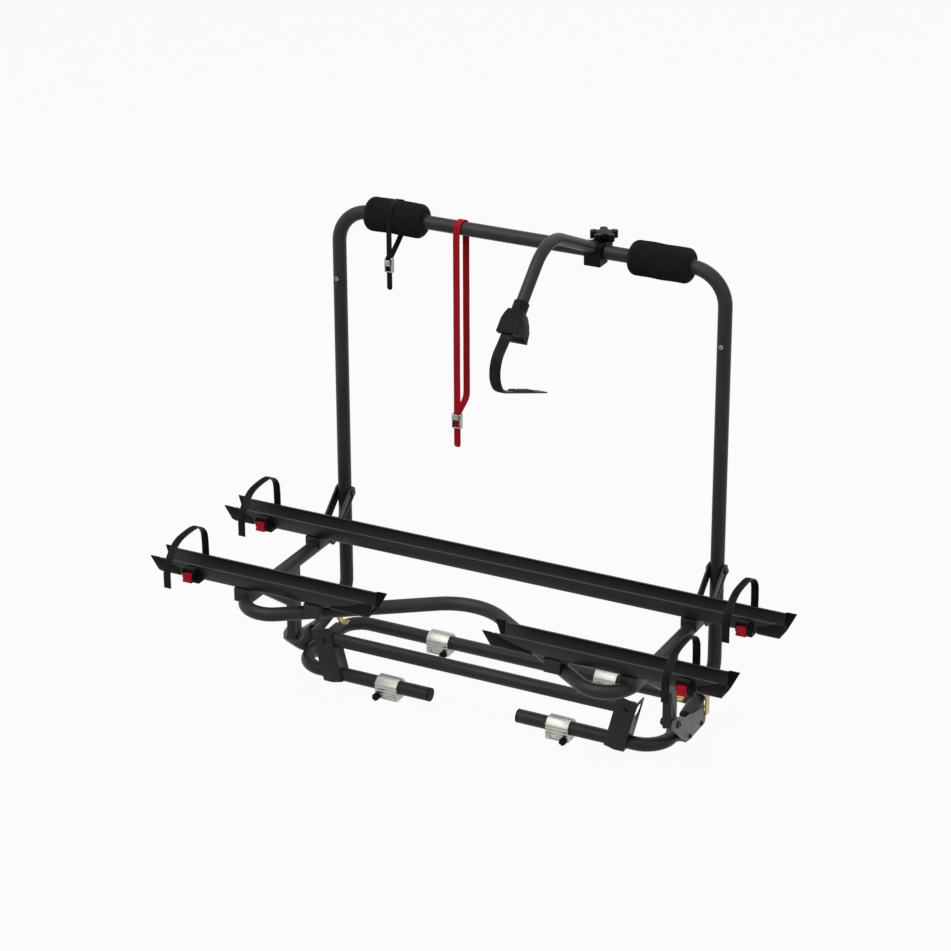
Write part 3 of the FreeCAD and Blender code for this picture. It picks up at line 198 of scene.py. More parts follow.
# finishes
def newFinish(name, **sockets):
    finish = bpy.data.materials.new(name)
    finish.use_nodes = True
    shader = finish.node_tree.nodes["Principled BSDF"]
    for socket, value in sockets.items():
        shader.inputs[socket.replace("_", " ")].default_value = value
    return finish


def node(finish, kind, **settings):
    made = finish.node_tree.nodes.new(kind)
    for key, value in settings.items():
        setattr(made, key, value)
    return made


def link(finish, source, target):
    finish.node_tree.links.new(source, target)


def objectPoints(finish, scale=(1, 1, 1), uv=False):
    coords = node(finish, "ShaderNodeTexCoord")
    mapping = node(finish, "ShaderNodeMapping")
    mapping.inputs["Scale"].default_value = scale
    link(finish, coords.outputs["UV" if uv else "Object"], mapping.inputs["Vector"])
    return mapping.outputs["Vector"]


def noise(finish, vector, scale, detail=4.0, rough=0.55):
    made = node(finish, "ShaderNodeTexNoise")
    made.inputs["Scale"].default_value = scale
    made.inputs["Detail"].default_value = detail
    made.inputs["Roughness"].default_value = rough
    link(finish, vector, made.inputs["Vector"])
    return made.outputs["Fac"]


def ramp(finish, value, stops):
    made = node(finish, "ShaderNodeValToRGB")
    elements = made.color_ramp.elements
    while len(elements) < len(stops):
        elements.new(0.5)
    for element, (place, colour) in zip(elements, stops):
        element.position = place
        element.color = (*colour, 1)
    link(finish, value, made.inputs["Fac"])
    return made.outputs["Color"]


def spread(finish, value, low, high):
    made = node(finish, "ShaderNodeMapRange")
    made.inputs["To Min"].default_value = low
    made.inputs["To Max"].default_value = high
    link(finish, value, made.inputs["Value"])
    return made.outputs["Result"]


def blendColours(finish, factor, first, second):
    made = node(finish, "ShaderNodeMix", data_type="RGBA")
    for socket, value in ((made.inputs[0], factor), (made.inputs[6], first), (made.inputs[7], second)):
        if isinstance(value, bpy.types.NodeSocket):
            link(finish, value, socket)
        else:
            socket.default_value = (*value, 1)
    return made.outputs[2]


def maths(finish, operation, first, second):
    made = node(finish, "ShaderNodeMath", operation=operation)
    for socket, value in zip(made.inputs, (first, second)):
        if isinstance(value, bpy.types.NodeSocket):
            link(finish, value, socket)
        else:
            socket.default_value = value
    return made.outputs[0]


def bumps(finish, heights):
    # heights: (height socket, depth in metres), laid over one another
    shader = finish.node_tree.nodes["Principled BSDF"]
    last = None
    for height, depth in heights:
        made = node(finish, "ShaderNodeBump")
        made.inputs["Strength"].default_value = 1.0
        made.inputs["Distance"].default_value = depth
        link(finish, height, made.inputs["Height"])
        if last is not None:
            link(finish, last, made.inputs["Normal"])
        last = made.outputs["Normal"]
    link(finish, last, shader.inputs["Normal"])


def paint(finish, colour, roughness):
    shader = finish.node_tree.nodes["Principled BSDF"]
    link(finish, colour, shader.inputs["Base Color"])
    link(finish, roughness, shader.inputs["Roughness"])


def powderCoat(name, dark, light, gloss, along=(1, 1, 1)):
    # satin powder paint: orange peel, faint cloudiness and a few light rubs
    finish = newFinish(name, Metallic=0.0, Specular_IOR_Level=0.2)
    points = objectPoints(finish, along)
    clouds = noise(finish, points, 14, 3)
    peel = noise(finish, points, 620, 2)
    rub = ramp(finish, noise(finish, points, 55, 6, 0.7), [(0.66, (0, 0, 0)), (0.8, (1, 1, 1))])
    base = ramp(finish, clouds, [(0.3, dark), (0.72, light)])
    worn = tuple(c * 1.7 + 0.004 for c in light)
    paint(finish, blendColours(finish, maths(finish, "MULTIPLY", rub, 0.22), base, worn),
          spread(finish, maths(finish, "ADD", maths(finish, "MULTIPLY", clouds, 0.6),
                               maths(finish, "MULTIPLY", peel, 0.4)), gloss - 0.07, gloss + 0.1))
    bumps(finish, [(peel, 0.00012)])
    return finish


tubePaint = powderCoat("tubePaint", (0.017, 0.0175, 0.0175), (0.025, 0.026, 0.0255), 0.40)
railPaint = powderCoat("railPaint", (0.014, 0.015, 0.0148), (0.022, 0.0235, 0.023), 0.42,
                       along=(0.25, 1.6, 1.6))


def mouldedPlastic(name, dark, light, gloss, grain=900, depth=0.00007):
    finish = newFinish(name, Specular_IOR_Level=0.1)
    points = objectPoints(finish)
    grainy = noise(finish, points, grain, 2)
    patches = noise(finish, points, 38, 4)
    paint(finish, ramp(finish, patches, [(0.3, dark), (0.75, light)]),
          spread(finish, patches, gloss - 0.06, gloss + 0.1))
    bumps(finish, [(grainy, depth)])
    return finish


capPlastic = mouldedPlastic("capPlastic", (0.0016, 0.0017, 0.0018), (0.0042, 0.0044, 0.0045), 0.5)
knobPlastic = mouldedPlastic("knobPlastic", (0.0012, 0.0012, 0.0014), (0.0032, 0.0032, 0.0034), 0.4,
                             grain=700)
strapPlastic = mouldedPlastic("strapPlastic", (0.004, 0.0042, 0.0045), (0.009, 0.0093, 0.0097), 0.44,
                              grain=1300, depth=0.00004)
leverPlastic = mouldedPlastic("leverPlastic", (0.42, 0.006, 0.018), (0.55, 0.010, 0.026), 0.32,
                              grain=500, depth=0.00003)


def foamRubber(name):
    # closed-cell foam: matt, with fine open pores on the skin
    finish = newFinish(name, Specular_IOR_Level=0.1, Sheen_Weight=0.02, Sheen_Roughness=0.6)
    points = objectPoints(finish)
    cells = node(finish, "ShaderNodeTexVoronoi")
    cells.inputs["Scale"].default_value = 620
    link(finish, points, cells.inputs["Vector"])
    pores = ramp(finish, cells.outputs["Distance"], [(0.05, (0, 0, 0)), (0.42, (1, 1, 1))])
    lumps = noise(finish, points, 70, 5)
    paint(finish, ramp(finish, lumps, [(0.3, (0.0058, 0.006, 0.006)), (0.75, (0.0105, 0.0108, 0.0108))]),
          spread(finish, lumps, 0.72, 0.9))
    bumps(finish, [(pores, 0.00022), (lumps, 0.0004)])
    return finish


padFoam = foamRubber("padFoam")


waveBand = 0.314159     # one band of the wave texture at scale 1


def webbing(name, dark, light, width, sheen, ribs=9, pick=0.0013):
    # narrow woven tape; its UV map holds metres across and along the tape
    finish = newFinish(name, Specular_IOR_Level=0.12, Sheen_Weight=sheen, Sheen_Roughness=0.45)
    points = objectPoints(finish, uv=True)
    warp = node(finish, "ShaderNodeTexWave", wave_type="BANDS", bands_direction="X")
    warp.inputs["Scale"].default_value = waveBand / (width / ribs)
    weft = node(finish, "ShaderNodeTexWave", wave_type="BANDS", bands_direction="Y")
    weft.inputs["Scale"].default_value = waveBand / pick
    for wave in (warp, weft):
        wave.inputs["Distortion"].default_value = 0.35
        wave.inputs["Detail Scale"].default_value = 2.0
        link(finish, points, wave.inputs["Vector"])
    weave = maths(finish, "MULTIPLY", maths(finish, "ADD", warp.outputs["Fac"], 0.35),
                  maths(finish, "ADD", weft.outputs["Fac"], 0.55))
    fuzz = noise(finish, points, 900, 3)
    tone = maths(finish, "ADD", maths(finish, "MULTIPLY", weave, 0.55), maths(finish, "MULTIPLY", fuzz, 0.35))
    paint(finish, ramp(finish, tone, [(0.2, dark), (0.85, light)]), spread(finish, tone, 0.85, 0.62))
    bumps(finish, [(weave, 0.00022), (fuzz, 0.00006)])
    return finish


padWebbing = webbing("padWebbing", (0.0012, 0.0012, 0.0013), (0.006, 0.006, 0.0063),
                     webTape["pad"]["width"], sheen=0.01)
redWebbing = webbing("redWebbing", (0.22, 0.003, 0.006), (0.52, 0.008, 0.018),
                     webTape["red"]["width"], sheen=0.02)


def bareMetal(name, dark, light, gloss, metal=1.0, grainScale=(1, 1, 1), depth=0.00004, spots=260):
    finish = newFinish(name, Metallic=metal)
    points = objectPoints(finish, grainScale)
    grain = noise(finish, points, spots, 5, 0.65)
    stains = noise(finish, points, 42, 4)
    tone = maths(finish, "ADD", maths(finish, "MULTIPLY", grain, 0.45),
                 maths(finish, "MULTIPLY", stains, 0.55))
    paint(finish, ramp(finish, tone, [(0.34, dark), (0.66, light)]),
          spread(finish, grain, gloss - 0.08, gloss + 0.12))
    bumps(finish, [(grain, depth)])
    return finish


clampAlloy = bareMetal("clampAlloy", (0.40, 0.39, 0.355), (0.56, 0.55, 0.51), 0.36, metal=0.75,
                       grainScale=(0.3, 1, 1))
castAlloy = bareMetal("castAlloy", (0.11, 0.115, 0.12), (0.18, 0.187, 0.192), 0.52, metal=0.35,
                      depth=0.00012, spots=420)
platedSteel = bareMetal("platedSteel", (0.25, 0.25, 0.25), (0.38, 0.38, 0.375), 0.24)
screwChrome = bareMetal("screwChrome", (0.66, 0.66, 0.66), (0.85, 0.85, 0.84), 0.18)
boltSteel = bareMetal("boltSteel", (0.012, 0.012, 0.013), (0.03, 0.03, 0.031), 0.36, metal=0.6)


def yellowPassivated(name):
    # zinc plate with the usual gold, green and pink drifts
    finish = newFinish(name, Metallic=0.85)
    points = objectPoints(finish)
    drift = noise(finish, points, 48, 3)
    fine = noise(finish, points, 330, 4)
    paint(finish, ramp(finish, drift, [(0.3, (0.50, 0.27, 0.05)), (0.46, (0.62, 0.43, 0.10)),
                                       (0.58, (0.42, 0.40, 0.14)), (0.7, (0.56, 0.29, 0.12))]),
          spread(finish, fine, 0.26, 0.46))
    bumps(finish, [(fine, 0.00005)])
    return finish


hookZinc = yellowPassivated("hookZinc")


def rackBoltFinish(name, brightAbove):
    # black bolts, but the two screws high on the hoop are bright zinc
    finish = newFinish(name)
    points = objectPoints(finish)
    fine = noise(finish, points, 300, 4)
    height = node(finish, "ShaderNodeSeparateXYZ")
    link(finish, points, height.inputs[0])
    high = maths(finish, "GREATER_THAN", height.outputs[2], brightAbove)
    black = ramp(finish, fine, [(0.3, (0.012, 0.012, 0.013)), (0.7, (0.028, 0.028, 0.029))])
    bright = ramp(finish, fine, [(0.3, (0.20, 0.20, 0.205)), (0.7, (0.31, 0.31, 0.315))])
    paint(finish, blendColours(finish, high, black, bright), spread(finish, fine, 0.3, 0.5))
    link(finish, maths(finish, "ADD", maths(finish, "MULTIPLY", high, 0.35), 0.5),
         finish.node_tree.nodes["Principled BSDF"].inputs["Metallic"])
    bumps(finish, [(fine, 0.00004)])
    return finish


rackBoltSteel = rackBoltFinish("rackBoltSteel", brightAbove=0.8)

paleFloor = newFinish("paleFloor", Roughness=0.9, Specular_IOR_Level=0.1)
paleFloor.node_tree.nodes["Principled BSDF"].inputs["Base Color"].default_value = (0.36, 0.36, 0.365, 1)


def showWhite(finish, share):
    # camera, mirror and glass rays see part white, so the floor keeps the object's shadow
    shader = finish.node_tree.nodes["Principled BSDF"]
    output = finish.node_tree.nodes["Material Output"]
    path = node(finish, "ShaderNodeLightPath")
    glow = node(finish, "ShaderNodeEmission")
    seen = maths(finish, "ADD", path.outputs["Is Camera Ray"], path.outputs["Is Glossy Ray"])
    seen = maths(finish, "MINIMUM", maths(finish, "ADD", seen, path.outputs["Is Transmission Ray"]), 1.0)
    mixed = node(finish, "ShaderNodeMixShader")
    link(finish, maths(finish, "MULTIPLY", seen, share), mixed.inputs[0])
    link(finish, shader.outputs[0], mixed.inputs[1])
    link(finish, glow.outputs[0], mixed.inputs[2])
    link(finish, mixed.outputs[0], output.inputs["Surface"])


studioShape = {"floor": 60, "below": 0.0005, "floorWhite": 0.95,
               "roomLights": 0.25,      # how strongly the pale room lights the object
               "roomLooks": 1.0}        # how white it looks
showWhite(paleFloor, studioShape["floorWhite"])
only(None)
bpy.ops.mesh.primitive_plane_add(size=studioShape["floor"], location=(0, 0, -studioShape["below"]))
studioFloor = addedObject("studioFloor")
studioFloor.data.materials.append(paleFloor)
bakePlace(studioFloor)

studio = bpy.data.worlds.new("studio")
scene.world = studio
studio.use_nodes = True
sky = studio.node_tree.nodes["Background"]
skyRay = node(studio, "ShaderNodeLightPath").outputs
skySeen = maths(studio, "MAXIMUM", skyRay["Is Camera Ray"], skyRay["Is Glossy Ray"])
skySeen = maths(studio, "MAXIMUM", skySeen, skyRay["Is Transmission Ray"])
skyLevel = spread(studio, skySeen, studioShape["roomLights"], studioShape["roomLooks"])
link(studio, skyLevel, sky.inputs["Strength"])
sky.inputs["Color"].default_value = (1, 1, 1, 1)
print("camera, studio and finishes ready")


# finishes for the pieces that stay as the CAD made them
finishes = {
    tubePaint: ["upper_hoop", "lower_leg_left", "lower_leg_right", "platform_tube", "gusset_plates",
                "front_legs", "rail_brackets", "rear_base_tube", "front_base_tube_left",
                "front_base_tube_right", "link_plates", "cross_bar", "arm_tube"],
    railPaint: ["back_rail", "front_rail_left", "front_rail_right"],
    castAlloy: ["side_bracket_left", "side_bracket_right"],
    hookZinc: ["foot_hooks"],
    boltSteel: ["base_bolts"],
    rackBoltSteel: ["rack_bolts"],
    capPlastic: ["rail_end_caps", "base_tube_plugs", "arm_liner", "arm_clamp", "arm_head"],
    knobPlastic: ["star_knob"] + [clamp + "_knob" for clamp in clamps],
    clampAlloy: [clamp + jaw for clamp in clamps for jaw in ("_front_jaw", "_rear_jaw")],
    platedSteel: ["pad_buckle", "pad_cam", "red_buckle", "red_cam"],
    padFoam: ["foam_pad_left", "foam_pad_right"],
    padWebbing: ["pad_strap"],
    redWebbing: ["red_strap"],
    strapPlastic: ["arm_strap"] + [wheel + "_strap" for wheel in wheels],
    leverPlastic: [wheel + "_lever" for wheel in wheels],
}
finishes[capPlastic] += [wheel + "_buckle" for wheel in wheels]
for finish, names in finishes.items():
    for name in names:
        parts[name].data.materials.clear()
        parts[name].data.materials.append(finish)


# softened edges on the machined and moulded CAD pieces
smoothAngle = 34
softening = {"segments": 2, "merge": 0.00001}
edgeRounds = {"rail_end_caps": 0.0008, "arm_clamp": 0.001, "arm_head": 0.003, "star_knob": 0.0016,
              "link_plates": 0.0008, "gusset_plates": 0.0006, "front_legs": 0.0006, "rail_brackets": 0.0006,
              "side_bracket_left": 0.001, "side_bracket_right": 0.001, "foot_hooks": 0.0008,
              "back_rail": 0.0006, "front_rail_left": 0.0006, "front_rail_right": 0.0006,
              "pad_buckle": 0.0003, "red_buckle": 0.0003, "pad_cam": 0.0003, "red_cam": 0.0003,
              "rack_bolts": 0.0003, "base_bolts": 0.0004}
edgeRounds.update((clamp + piece, 0.0004) for clamp in clamps
                  for piece in ("_front_jaw", "_rear_jaw", "_knob"))
edgeRounds.update((wheel + piece, 0.0008) for wheel in wheels for piece in ("_buckle", "_lever"))
for name, radius in edgeRounds.items():
    merge = parts[name].modifiers.new("merge", "WELD")
    merge.merge_threshold = softening["merge"]
    soften = parts[name].modifiers.new("soften", "BEVEL")
    soften.limit_method = "ANGLE"
    soften.angle_limit = math.radians(smoothAngle)
    soften.width = radius
    soften.segments = softening["segments"]
    soften.use_clamp_overlap = True
    soften.harden_normals = False
for name in parts:
    smoothed(parts[name], smoothAngle)
print("CAD pieces finished:", sum(len(names) for names in finishes.values()))


# foam pads
padShape = {"middle": 0.3055, "length": 0.135, "radius": 0.035, "bore": 0.01515, "round": 0.013,
            "rings": 46, "around": 120, "skin": 0.0003,
            "swell": (0.00035, 0.00025), "waves": (9, 17),
            "slit": {"deep": 0.0012, "angle": 0.35, "half": 0.035},
            "press": {"x": webTape["pad"]["x"], "deep": 0.0007, "half": 0.0075}}


def foamPad(name, side):
    middle, length, radius = side * padShape["middle"], padShape["length"], padShape["radius"]
    pad = barAcross(name, padShape["around"], radius, length, (middle, hoopY, barZ))
    pickFaces(pad, lambda face: abs(face.normal.x) > 0.9)   # both ends drawn in to the bore, then opened
    bpy.ops.mesh.inset(thickness=radius - padShape["bore"], depth=0)
    bpy.ops.mesh.delete(type="FACE")
    done(pad)

    def fromBar(v):
        return math.hypot(v.y - hoopY, v.z - barZ)

    def onRim(v):
        return abs(abs(v.x - middle) - length / 2) < 1e-5 and fromBar(v) > radius - 1e-4

    pickEdges(pad, lambda a, b: onRim(a) and onRim(b))
    bpy.ops.mesh.bevel(offset=padShape["round"], segments=7, profile=0.55, affect="EDGES")
    done(pad)
    pickEdges(pad, lambda a, b: max(fromBar(a), fromBar(b)) < padShape["bore"] + 1e-4)
    bpy.ops.mesh.bridge_edge_loops()
    bpy.ops.mesh.select_all(action="SELECT")
    bpy.ops.mesh.normals_make_consistent(inside=False)
    start = middle - length / 2
    straight = length - 2 * padShape["round"]
    for step in range(1, padShape["rings"]):                # cuts across, so the skin can be shaped
        sliced((start + padShape["round"] + straight * step / padShape["rings"], 0, 0), (1, 0, 0))
    done(pad)
    slit, press = padShape["slit"], padShape["press"]
    for vertex in pad.data.vertices:                        # hand-cut foam: a slight swell, a slit below
        if fromBar(vertex.co) < padShape["bore"] + 0.002:
            continue
        out = Vector((0, vertex.co.y - hoopY, vertex.co.z - barZ))
        angle = math.atan2(out.y, -out.z)
        along = (vertex.co.x - start) / length
        move = padShape["swell"][0] * math.sin(padShape["waves"][0] * along + 2 * math.cos(angle) + side)
        move += padShape["swell"][1] * math.sin(padShape["waves"][1] * along + 3 * angle)
        move -= slit["deep"] * math.exp(-((angle - slit["angle"]) / slit["half"]) ** 2)
        if side < 0:                                        # the strap bites a little into the left pad
            move -= press["deep"] * math.exp(-((vertex.co.x - press["x"]) / press["half"]) ** 4)
        vertex.co += out.normalized() * (move - padShape["skin"])
    pad.data.materials.append(padFoam)
    smoothed(pad, 60)
    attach(pad, "rack")
    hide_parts("foam_pad_left" if side < 0 else "foam_pad_right")


foamPad("foamPadLeft", -1)
foamPad("foamPadRight", 1)
print("foam pads made")


# straps: a flat band is made along X, then bent along a line that runs forward and up at one x
def strapLine(name, x, points):
    # a NURBS line in an upright plane; points are (forward, up) in metres
    line = bpy.data.curves.new(name, "CURVE")
    line.dimensions = "2D"
    spline = line.splines.new("NURBS")
    spline.points.add(len(points) - 1)
    for point, (forward, up) in zip(spline.points, points):
        point.co = (forward, up, 0, 1)
    spline.order_u = 3
    spline.use_endpoint_u = True
    line.resolution_u = 24
    obj = bpy.data.objects.new(name, line)
    scene.collection.objects.link(obj)
    obj.matrix_world = Matrix(((0, 0, -1, x), (-1, 0, 0, 0), (0, 1, 0, 0), (0, 0, 0, 1)))
    return obj


def lineLength(line):
    mesh = bpy.data.meshes.new_from_object(line)
    ends = [[mesh.vertices[i].co for i in edge.vertices] for edge in mesh.edges]
    length = sum((a - b).length for a, b in ends)
    bpy.data.meshes.remove(mesh)
    return length


bandRound = 0.32    # share of a band's thickness


def flatBand(name, length, width, thick, steps, across=4):
    # a thin block cut into short lengths, its long edges rounded
    band = block(name, (length / 2, 0, 0), (length, thick, width))
    pickEdges(band, lambda a, b: abs(a.x - b.x) > length / 2)
    bpy.ops.mesh.bevel(offset=thick * bandRound, segments=2, affect="EDGES")
    for step in range(1, steps):
        sliced((length * step / steps, 0, 0), (1, 0, 0))
    for step in range(1, across):
        sliced((0, 0, width * (step / across - 0.5)), (0, 0, 1))
    return done(band)


def mapInMetres(obj):
    layer = obj.data.uv_layers[0]
    for loop in obj.data.loops:
        co = obj.data.vertices[loop.vertex_index].co
        layer.data[loop.index].uv = (co.z, co.x)


def bendAlong(band, line):
    band.matrix_world = line.matrix_world
    bend = band.modifiers.new("bend", "CURVE")
    bend.object = line
    bend.deform_axis = "POS_X"
    bakeModifiers(band)
    bpy.data.objects.remove(line)
    bakePlace(band)


def easing(share):
    share = min(1.0, max(0.0, share))
    return share * share * (3 - 2 * share)


tapeTip = {"long": 0.0055, "narrow": 0.25, "cuts": (0.08, 0.2, 0.36, 0.58, 0.82)}
tapeWave = {"long": (61, 0.6), "short": (143, 0.4), "twist": 160}


def wovenStrap(name, tape, points, finish, body, cadNode, steps, lift, drift=None):
    # points are (forward, up) from the hanging end; lift is how far the tape waves
    line = strapLine(name + "Line", tape["x"], [(forward - hoopY, up) for forward, up in points])
    length = lineLength(line)
    band = flatBand(name, length, tape["width"], webTape["thick"], steps)
    mapInMetres(band)
    pickFaces(band, lambda face: True)                      # the hanging end is heat-cut to a round tip
    for share in tapeTip["cuts"]:
        sliced((tapeTip["long"] * share, 0, 0), (1, 0, 0))
    done(band)
    for vertex in band.data.vertices:
        short = 1 - vertex.co.x / tapeTip["long"]
        if short > 0:
            vertex.co.z *= tapeTip["narrow"] + (1 - tapeTip["narrow"]) * math.sqrt(max(0.0, 1 - short ** 2))
    slow, slowShare = tapeWave["long"]
    quick, quickShare = tapeWave["short"]
    for vertex in band.data.vertices:                       # a little life in the tape
        along = vertex.co.x
        vertex.co.y += lift * (math.sin(along * slow) * slowShare
                               + math.sin(along * quick + vertex.co.z * tapeWave["twist"]) * quickShare)
        if drift:                                           # the run behind hangs a little to one side
            vertex.co.z -= drift["far"] * (easing((along - drift["start"]) / drift["over"])
                                           - easing((along - length + drift["back"]) / drift["back"]))
    bendAlong(band, line)
    band.data.materials.append(finish)
    smoothed(band, 50)
    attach(band, body)
    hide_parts(cadNode)
    print(name, "is", round(length, 3), "m of tape")


# the pad's tape hangs in front, goes over the pad and comes down behind to the seam under it
padLoop = {"radius": 0.0361, "tail": 0.849, "front": 0.97, "back": 0.957, "backShare": 0.7, "seam": 0.004,
           "lean": math.radians(46),
           "arch": [(1, 0.09), (0.96, 0.55), (0.62, 0.93), (0, 1.08),
                    (-0.62, 0.93), (-0.96, 0.55), (-1, 0.09)]}
radius = padLoop["radius"]
backHigh = barZ - radius * math.tan(padLoop["lean"] / 2)
seamHigh = backHigh - (2 * radius - padLoop["seam"]) / math.tan(padLoop["lean"])
padRoute = [(radius, padLoop["tail"]), (radius, (padLoop["tail"] + padLoop["front"]) / 2),
            (radius, padLoop["front"])]
padRoute += [(radius * forward, barZ + radius * up) for forward, up in padLoop["arch"]]
padRoute += [(-radius, backHigh), (-radius * padLoop["backShare"], padLoop["back"]),
             (radius - padLoop["seam"], seamHigh)]
redRoute = [(0.018, 0.508), (0.018, 0.60), (0.018, 0.75), (0.0178, 0.9), (0.018, 0.985), (0.0178, 1.004),
            (0.0138, 1.0145), (0.0, 1.0185), (-0.0138, 1.0145), (-0.0178, 1.004), (-0.018, 0.985),
            (-0.0178, 0.9), (-0.018, 0.75), (-0.018, 0.66), (-0.018, 0.635), (-0.0175, 0.612),
            (-0.004, 0.5985), (0.014, 0.5845)]
wovenStrap("padTape", webTape["pad"], padRoute, padWebbing, "pad_strap", "pad_strap",
           steps=110, lift=0.00012)
wovenStrap("redTape", webTape["red"], redRoute, redWebbing, "red_strap", "red_strap",
           steps=220, lift=0.00018,
           drift={"far": 0.0045, "start": 0.455, "over": 0.11, "back": 0.05})
print("woven straps made")


# ratchet straps of the wheels and of the frame arm
ratchet = {"pitch": 0.0034, "high": 0.0009, "wide": 0.62, "long": 0.8, "crest": (0.35, 1, 0.94), "lean": 0.2}
lugShape = {"long": 0.011, "high": 0.0032, "wide": 0.8, "round": 0.8}


def toothedBand(name, line, width, toothRows, steps, thick=0.0025, lugs=()):
    # a moulded band with ratchet teeth; each row is (first, last, side), side 1 being the outer face
    length = lineLength(line)
    pieces = [flatBand(name, length, width, thick, steps, across=2)]
    pitch = ratchet["pitch"]
    for first, last, side in toothRows:
        tooth = block(name + "Tooth", (first + pitch / 2, side * thick / 2, 0),
                      (pitch * ratchet["long"], ratchet["high"] * 2, width * ratchet["wide"]))
        pickFaces(tooth, lambda face: face.normal.y * side > 0.9)   # the crest leans, as a ratchet's does
        bpy.ops.transform.resize(value=ratchet["crest"])
        bpy.ops.transform.translate(value=(pitch * ratchet["lean"], 0, 0))
        done(tooth)
        row = tooth.modifiers.new("row", "ARRAY")
        row.use_relative_offset = False
        row.use_constant_offset = True
        row.constant_offset_displace = (pitch, 0, 0)
        row.count = int((last - first) / pitch)
        pieces.append(bakeModifiers(tooth))
    for start in lugs:                                      # raised stops near the free end
        lug = block(name + "Lug", (length - start, -thick / 2, 0),
                    (lugShape["long"], lugShape["high"] * 2, width * lugShape["wide"]))
        pickEdges(lug, lambda a, b: abs(a.z - b.z) > 1e-4)
        bpy.ops.mesh.bevel(offset=lugShape["high"] * lugShape["round"], segments=3, affect="EDGES")
        pieces.append(done(lug))
    band = joined(name, pieces)
    bendAlong(band, line)
    band.data.materials.clear()
    band.data.materials.append(strapPlastic)
    smoothed(band, 35)
    print(name, "is", round(length, 3), "m of strap")
    return band


wheelStrap = {"x": 0.568, "width": 0.017, "steps": 90, "teeth": (0.12, 0.290, 1),
              "back": {"y": 0.124, "low": 0.286}, "front": {"y": 0.426, "low": 0.292},
              "route": [(-0.03535, 0.004), (-0.03535, 0.03), (-0.0353, 0.06), (-0.0325, 0.089),
                        (-0.006, 0.1115), (0.040, 0.1125), (0.078, 0.1075), (0.1085, 0.080),
                        (0.118, 0.055), (0.118, 0.036), (0.118, 0.018)]}
for row, side, way in wheelSpots:
    place = wheelStrap[row]
    route = [(forward + place["y"] - hoopY, up + place["low"]) for forward, up in wheelStrap["route"]]
    line = strapLine("wheelLine", way * wheelStrap["x"], route)
    name = "%s%sWheelStrap" % (row, side.capitalize())
    strap = toothedBand(name, line, wheelStrap["width"], [wheelStrap["teeth"]], wheelStrap["steps"])
    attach(strap, "%s_%s_wheel_strap" % (row, side))
    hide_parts("%s_%s_wheel_strap" % (row, side))
print("wheel straps made")

frameStrap = {"x": 0.16, "width": 0.024, "thick": 0.003, "steps": 110,
              "lugs": (0.137, 0.118, 0.098, 0.080, 0.063),
              "outerTeeth": (0.03, 0.03), "innerTeeth": (0.125, 0.055),
              "route": [(0.3997, 0.9748), (0.4247, 0.9519), (0.4607, 0.9271), (0.4699, 0.8886),
                        (0.4512, 0.8537), (0.415, 0.8405), (0.34, 0.813), (0.2561, 0.7822)]}
line = strapLine("frameLine", frameStrap["x"], [(forward - hoopY, up) for forward, up in frameStrap["route"]])
frameLength = lineLength(line)
outer, inner = frameStrap["outerTeeth"], frameStrap["innerTeeth"]
toothRows = [(outer[0], frameLength - outer[1], 1), (frameLength - inner[0], frameLength - inner[1], -1)]
strap = toothedBand("frameStrap", line, frameStrap["width"], toothRows, frameStrap["steps"],
                    frameStrap["thick"], frameStrap["lugs"])
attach(strap, "arm_head")
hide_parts("arm_strap")
print("frame strap made")


# bolts: heads with a hex socket, nuts and shanks
hexSocket = {"across": 0.46, "deep": 0.55, "rim": 0.42, "round": 0.28, "nutRound": 0.07}


def aimed(obj, at, axis):
    turn = Vector((0, 0, 1)).rotation_difference(Vector(axis)).to_matrix().to_4x4()
    obj.matrix_world = Matrix.Translation(at) @ turn
    return bakePlace(obj)


def turnedRod(name, radius, length, at, axis, around=36, chamfer=0.0, bothEnds=False):
    # a round bar from a point along an axis, its far rim (and the near one) chamfered
    only(None)
    bpy.ops.mesh.primitive_cylinder_add(vertices=around, radius=radius, depth=length,
                                        location=(0, 0, length / 2))
    bar = bakePlace(addedObject(name))
    if chamfer:
        pickEdges(bar, lambda a, b: abs(a.z - b.z) < 1e-7 and (a.z > length / 2 or bothEnds))
        bpy.ops.mesh.bevel(offset=chamfer, segments=2, affect="EDGES")
        done(bar)
    return aimed(bar, at, axis)


def socketHead(name, radius, height, at, axis):
    head = turnedRod(name, radius, height, (0, 0, 0), (0, 0, 1))
    pickFaces(head, lambda face: face.normal.z > 0.9)
    bpy.ops.mesh.inset(thickness=radius * hexSocket["rim"])
    bpy.ops.mesh.extrude_region_move(TRANSFORM_OT_translate={"value": (0, 0, -height * hexSocket["deep"])})
    done(head)
    for vertex in head.data.vertices:                       # the round recess is pressed out to a hexagon
        reach = math.hypot(vertex.co.x, vertex.co.y)
        if 1e-6 < reach < radius * 0.7:
            turn = (math.atan2(vertex.co.y, vertex.co.x) % (math.pi / 3)) - math.pi / 6
            vertex.co.x *= radius * hexSocket["across"] / math.cos(turn) / reach
            vertex.co.y *= radius * hexSocket["across"] / math.cos(turn) / reach

    def onRim(v):
        return v.z > height * 0.9 and math.hypot(v.x, v.y) > radius * 0.9

    pickEdges(head, lambda a, b: onRim(a) and onRim(b))
    bpy.ops.mesh.bevel(offset=min(radius, height) * hexSocket["round"], segments=3, affect="EDGES")
    done(head)
    return aimed(head, at, axis)


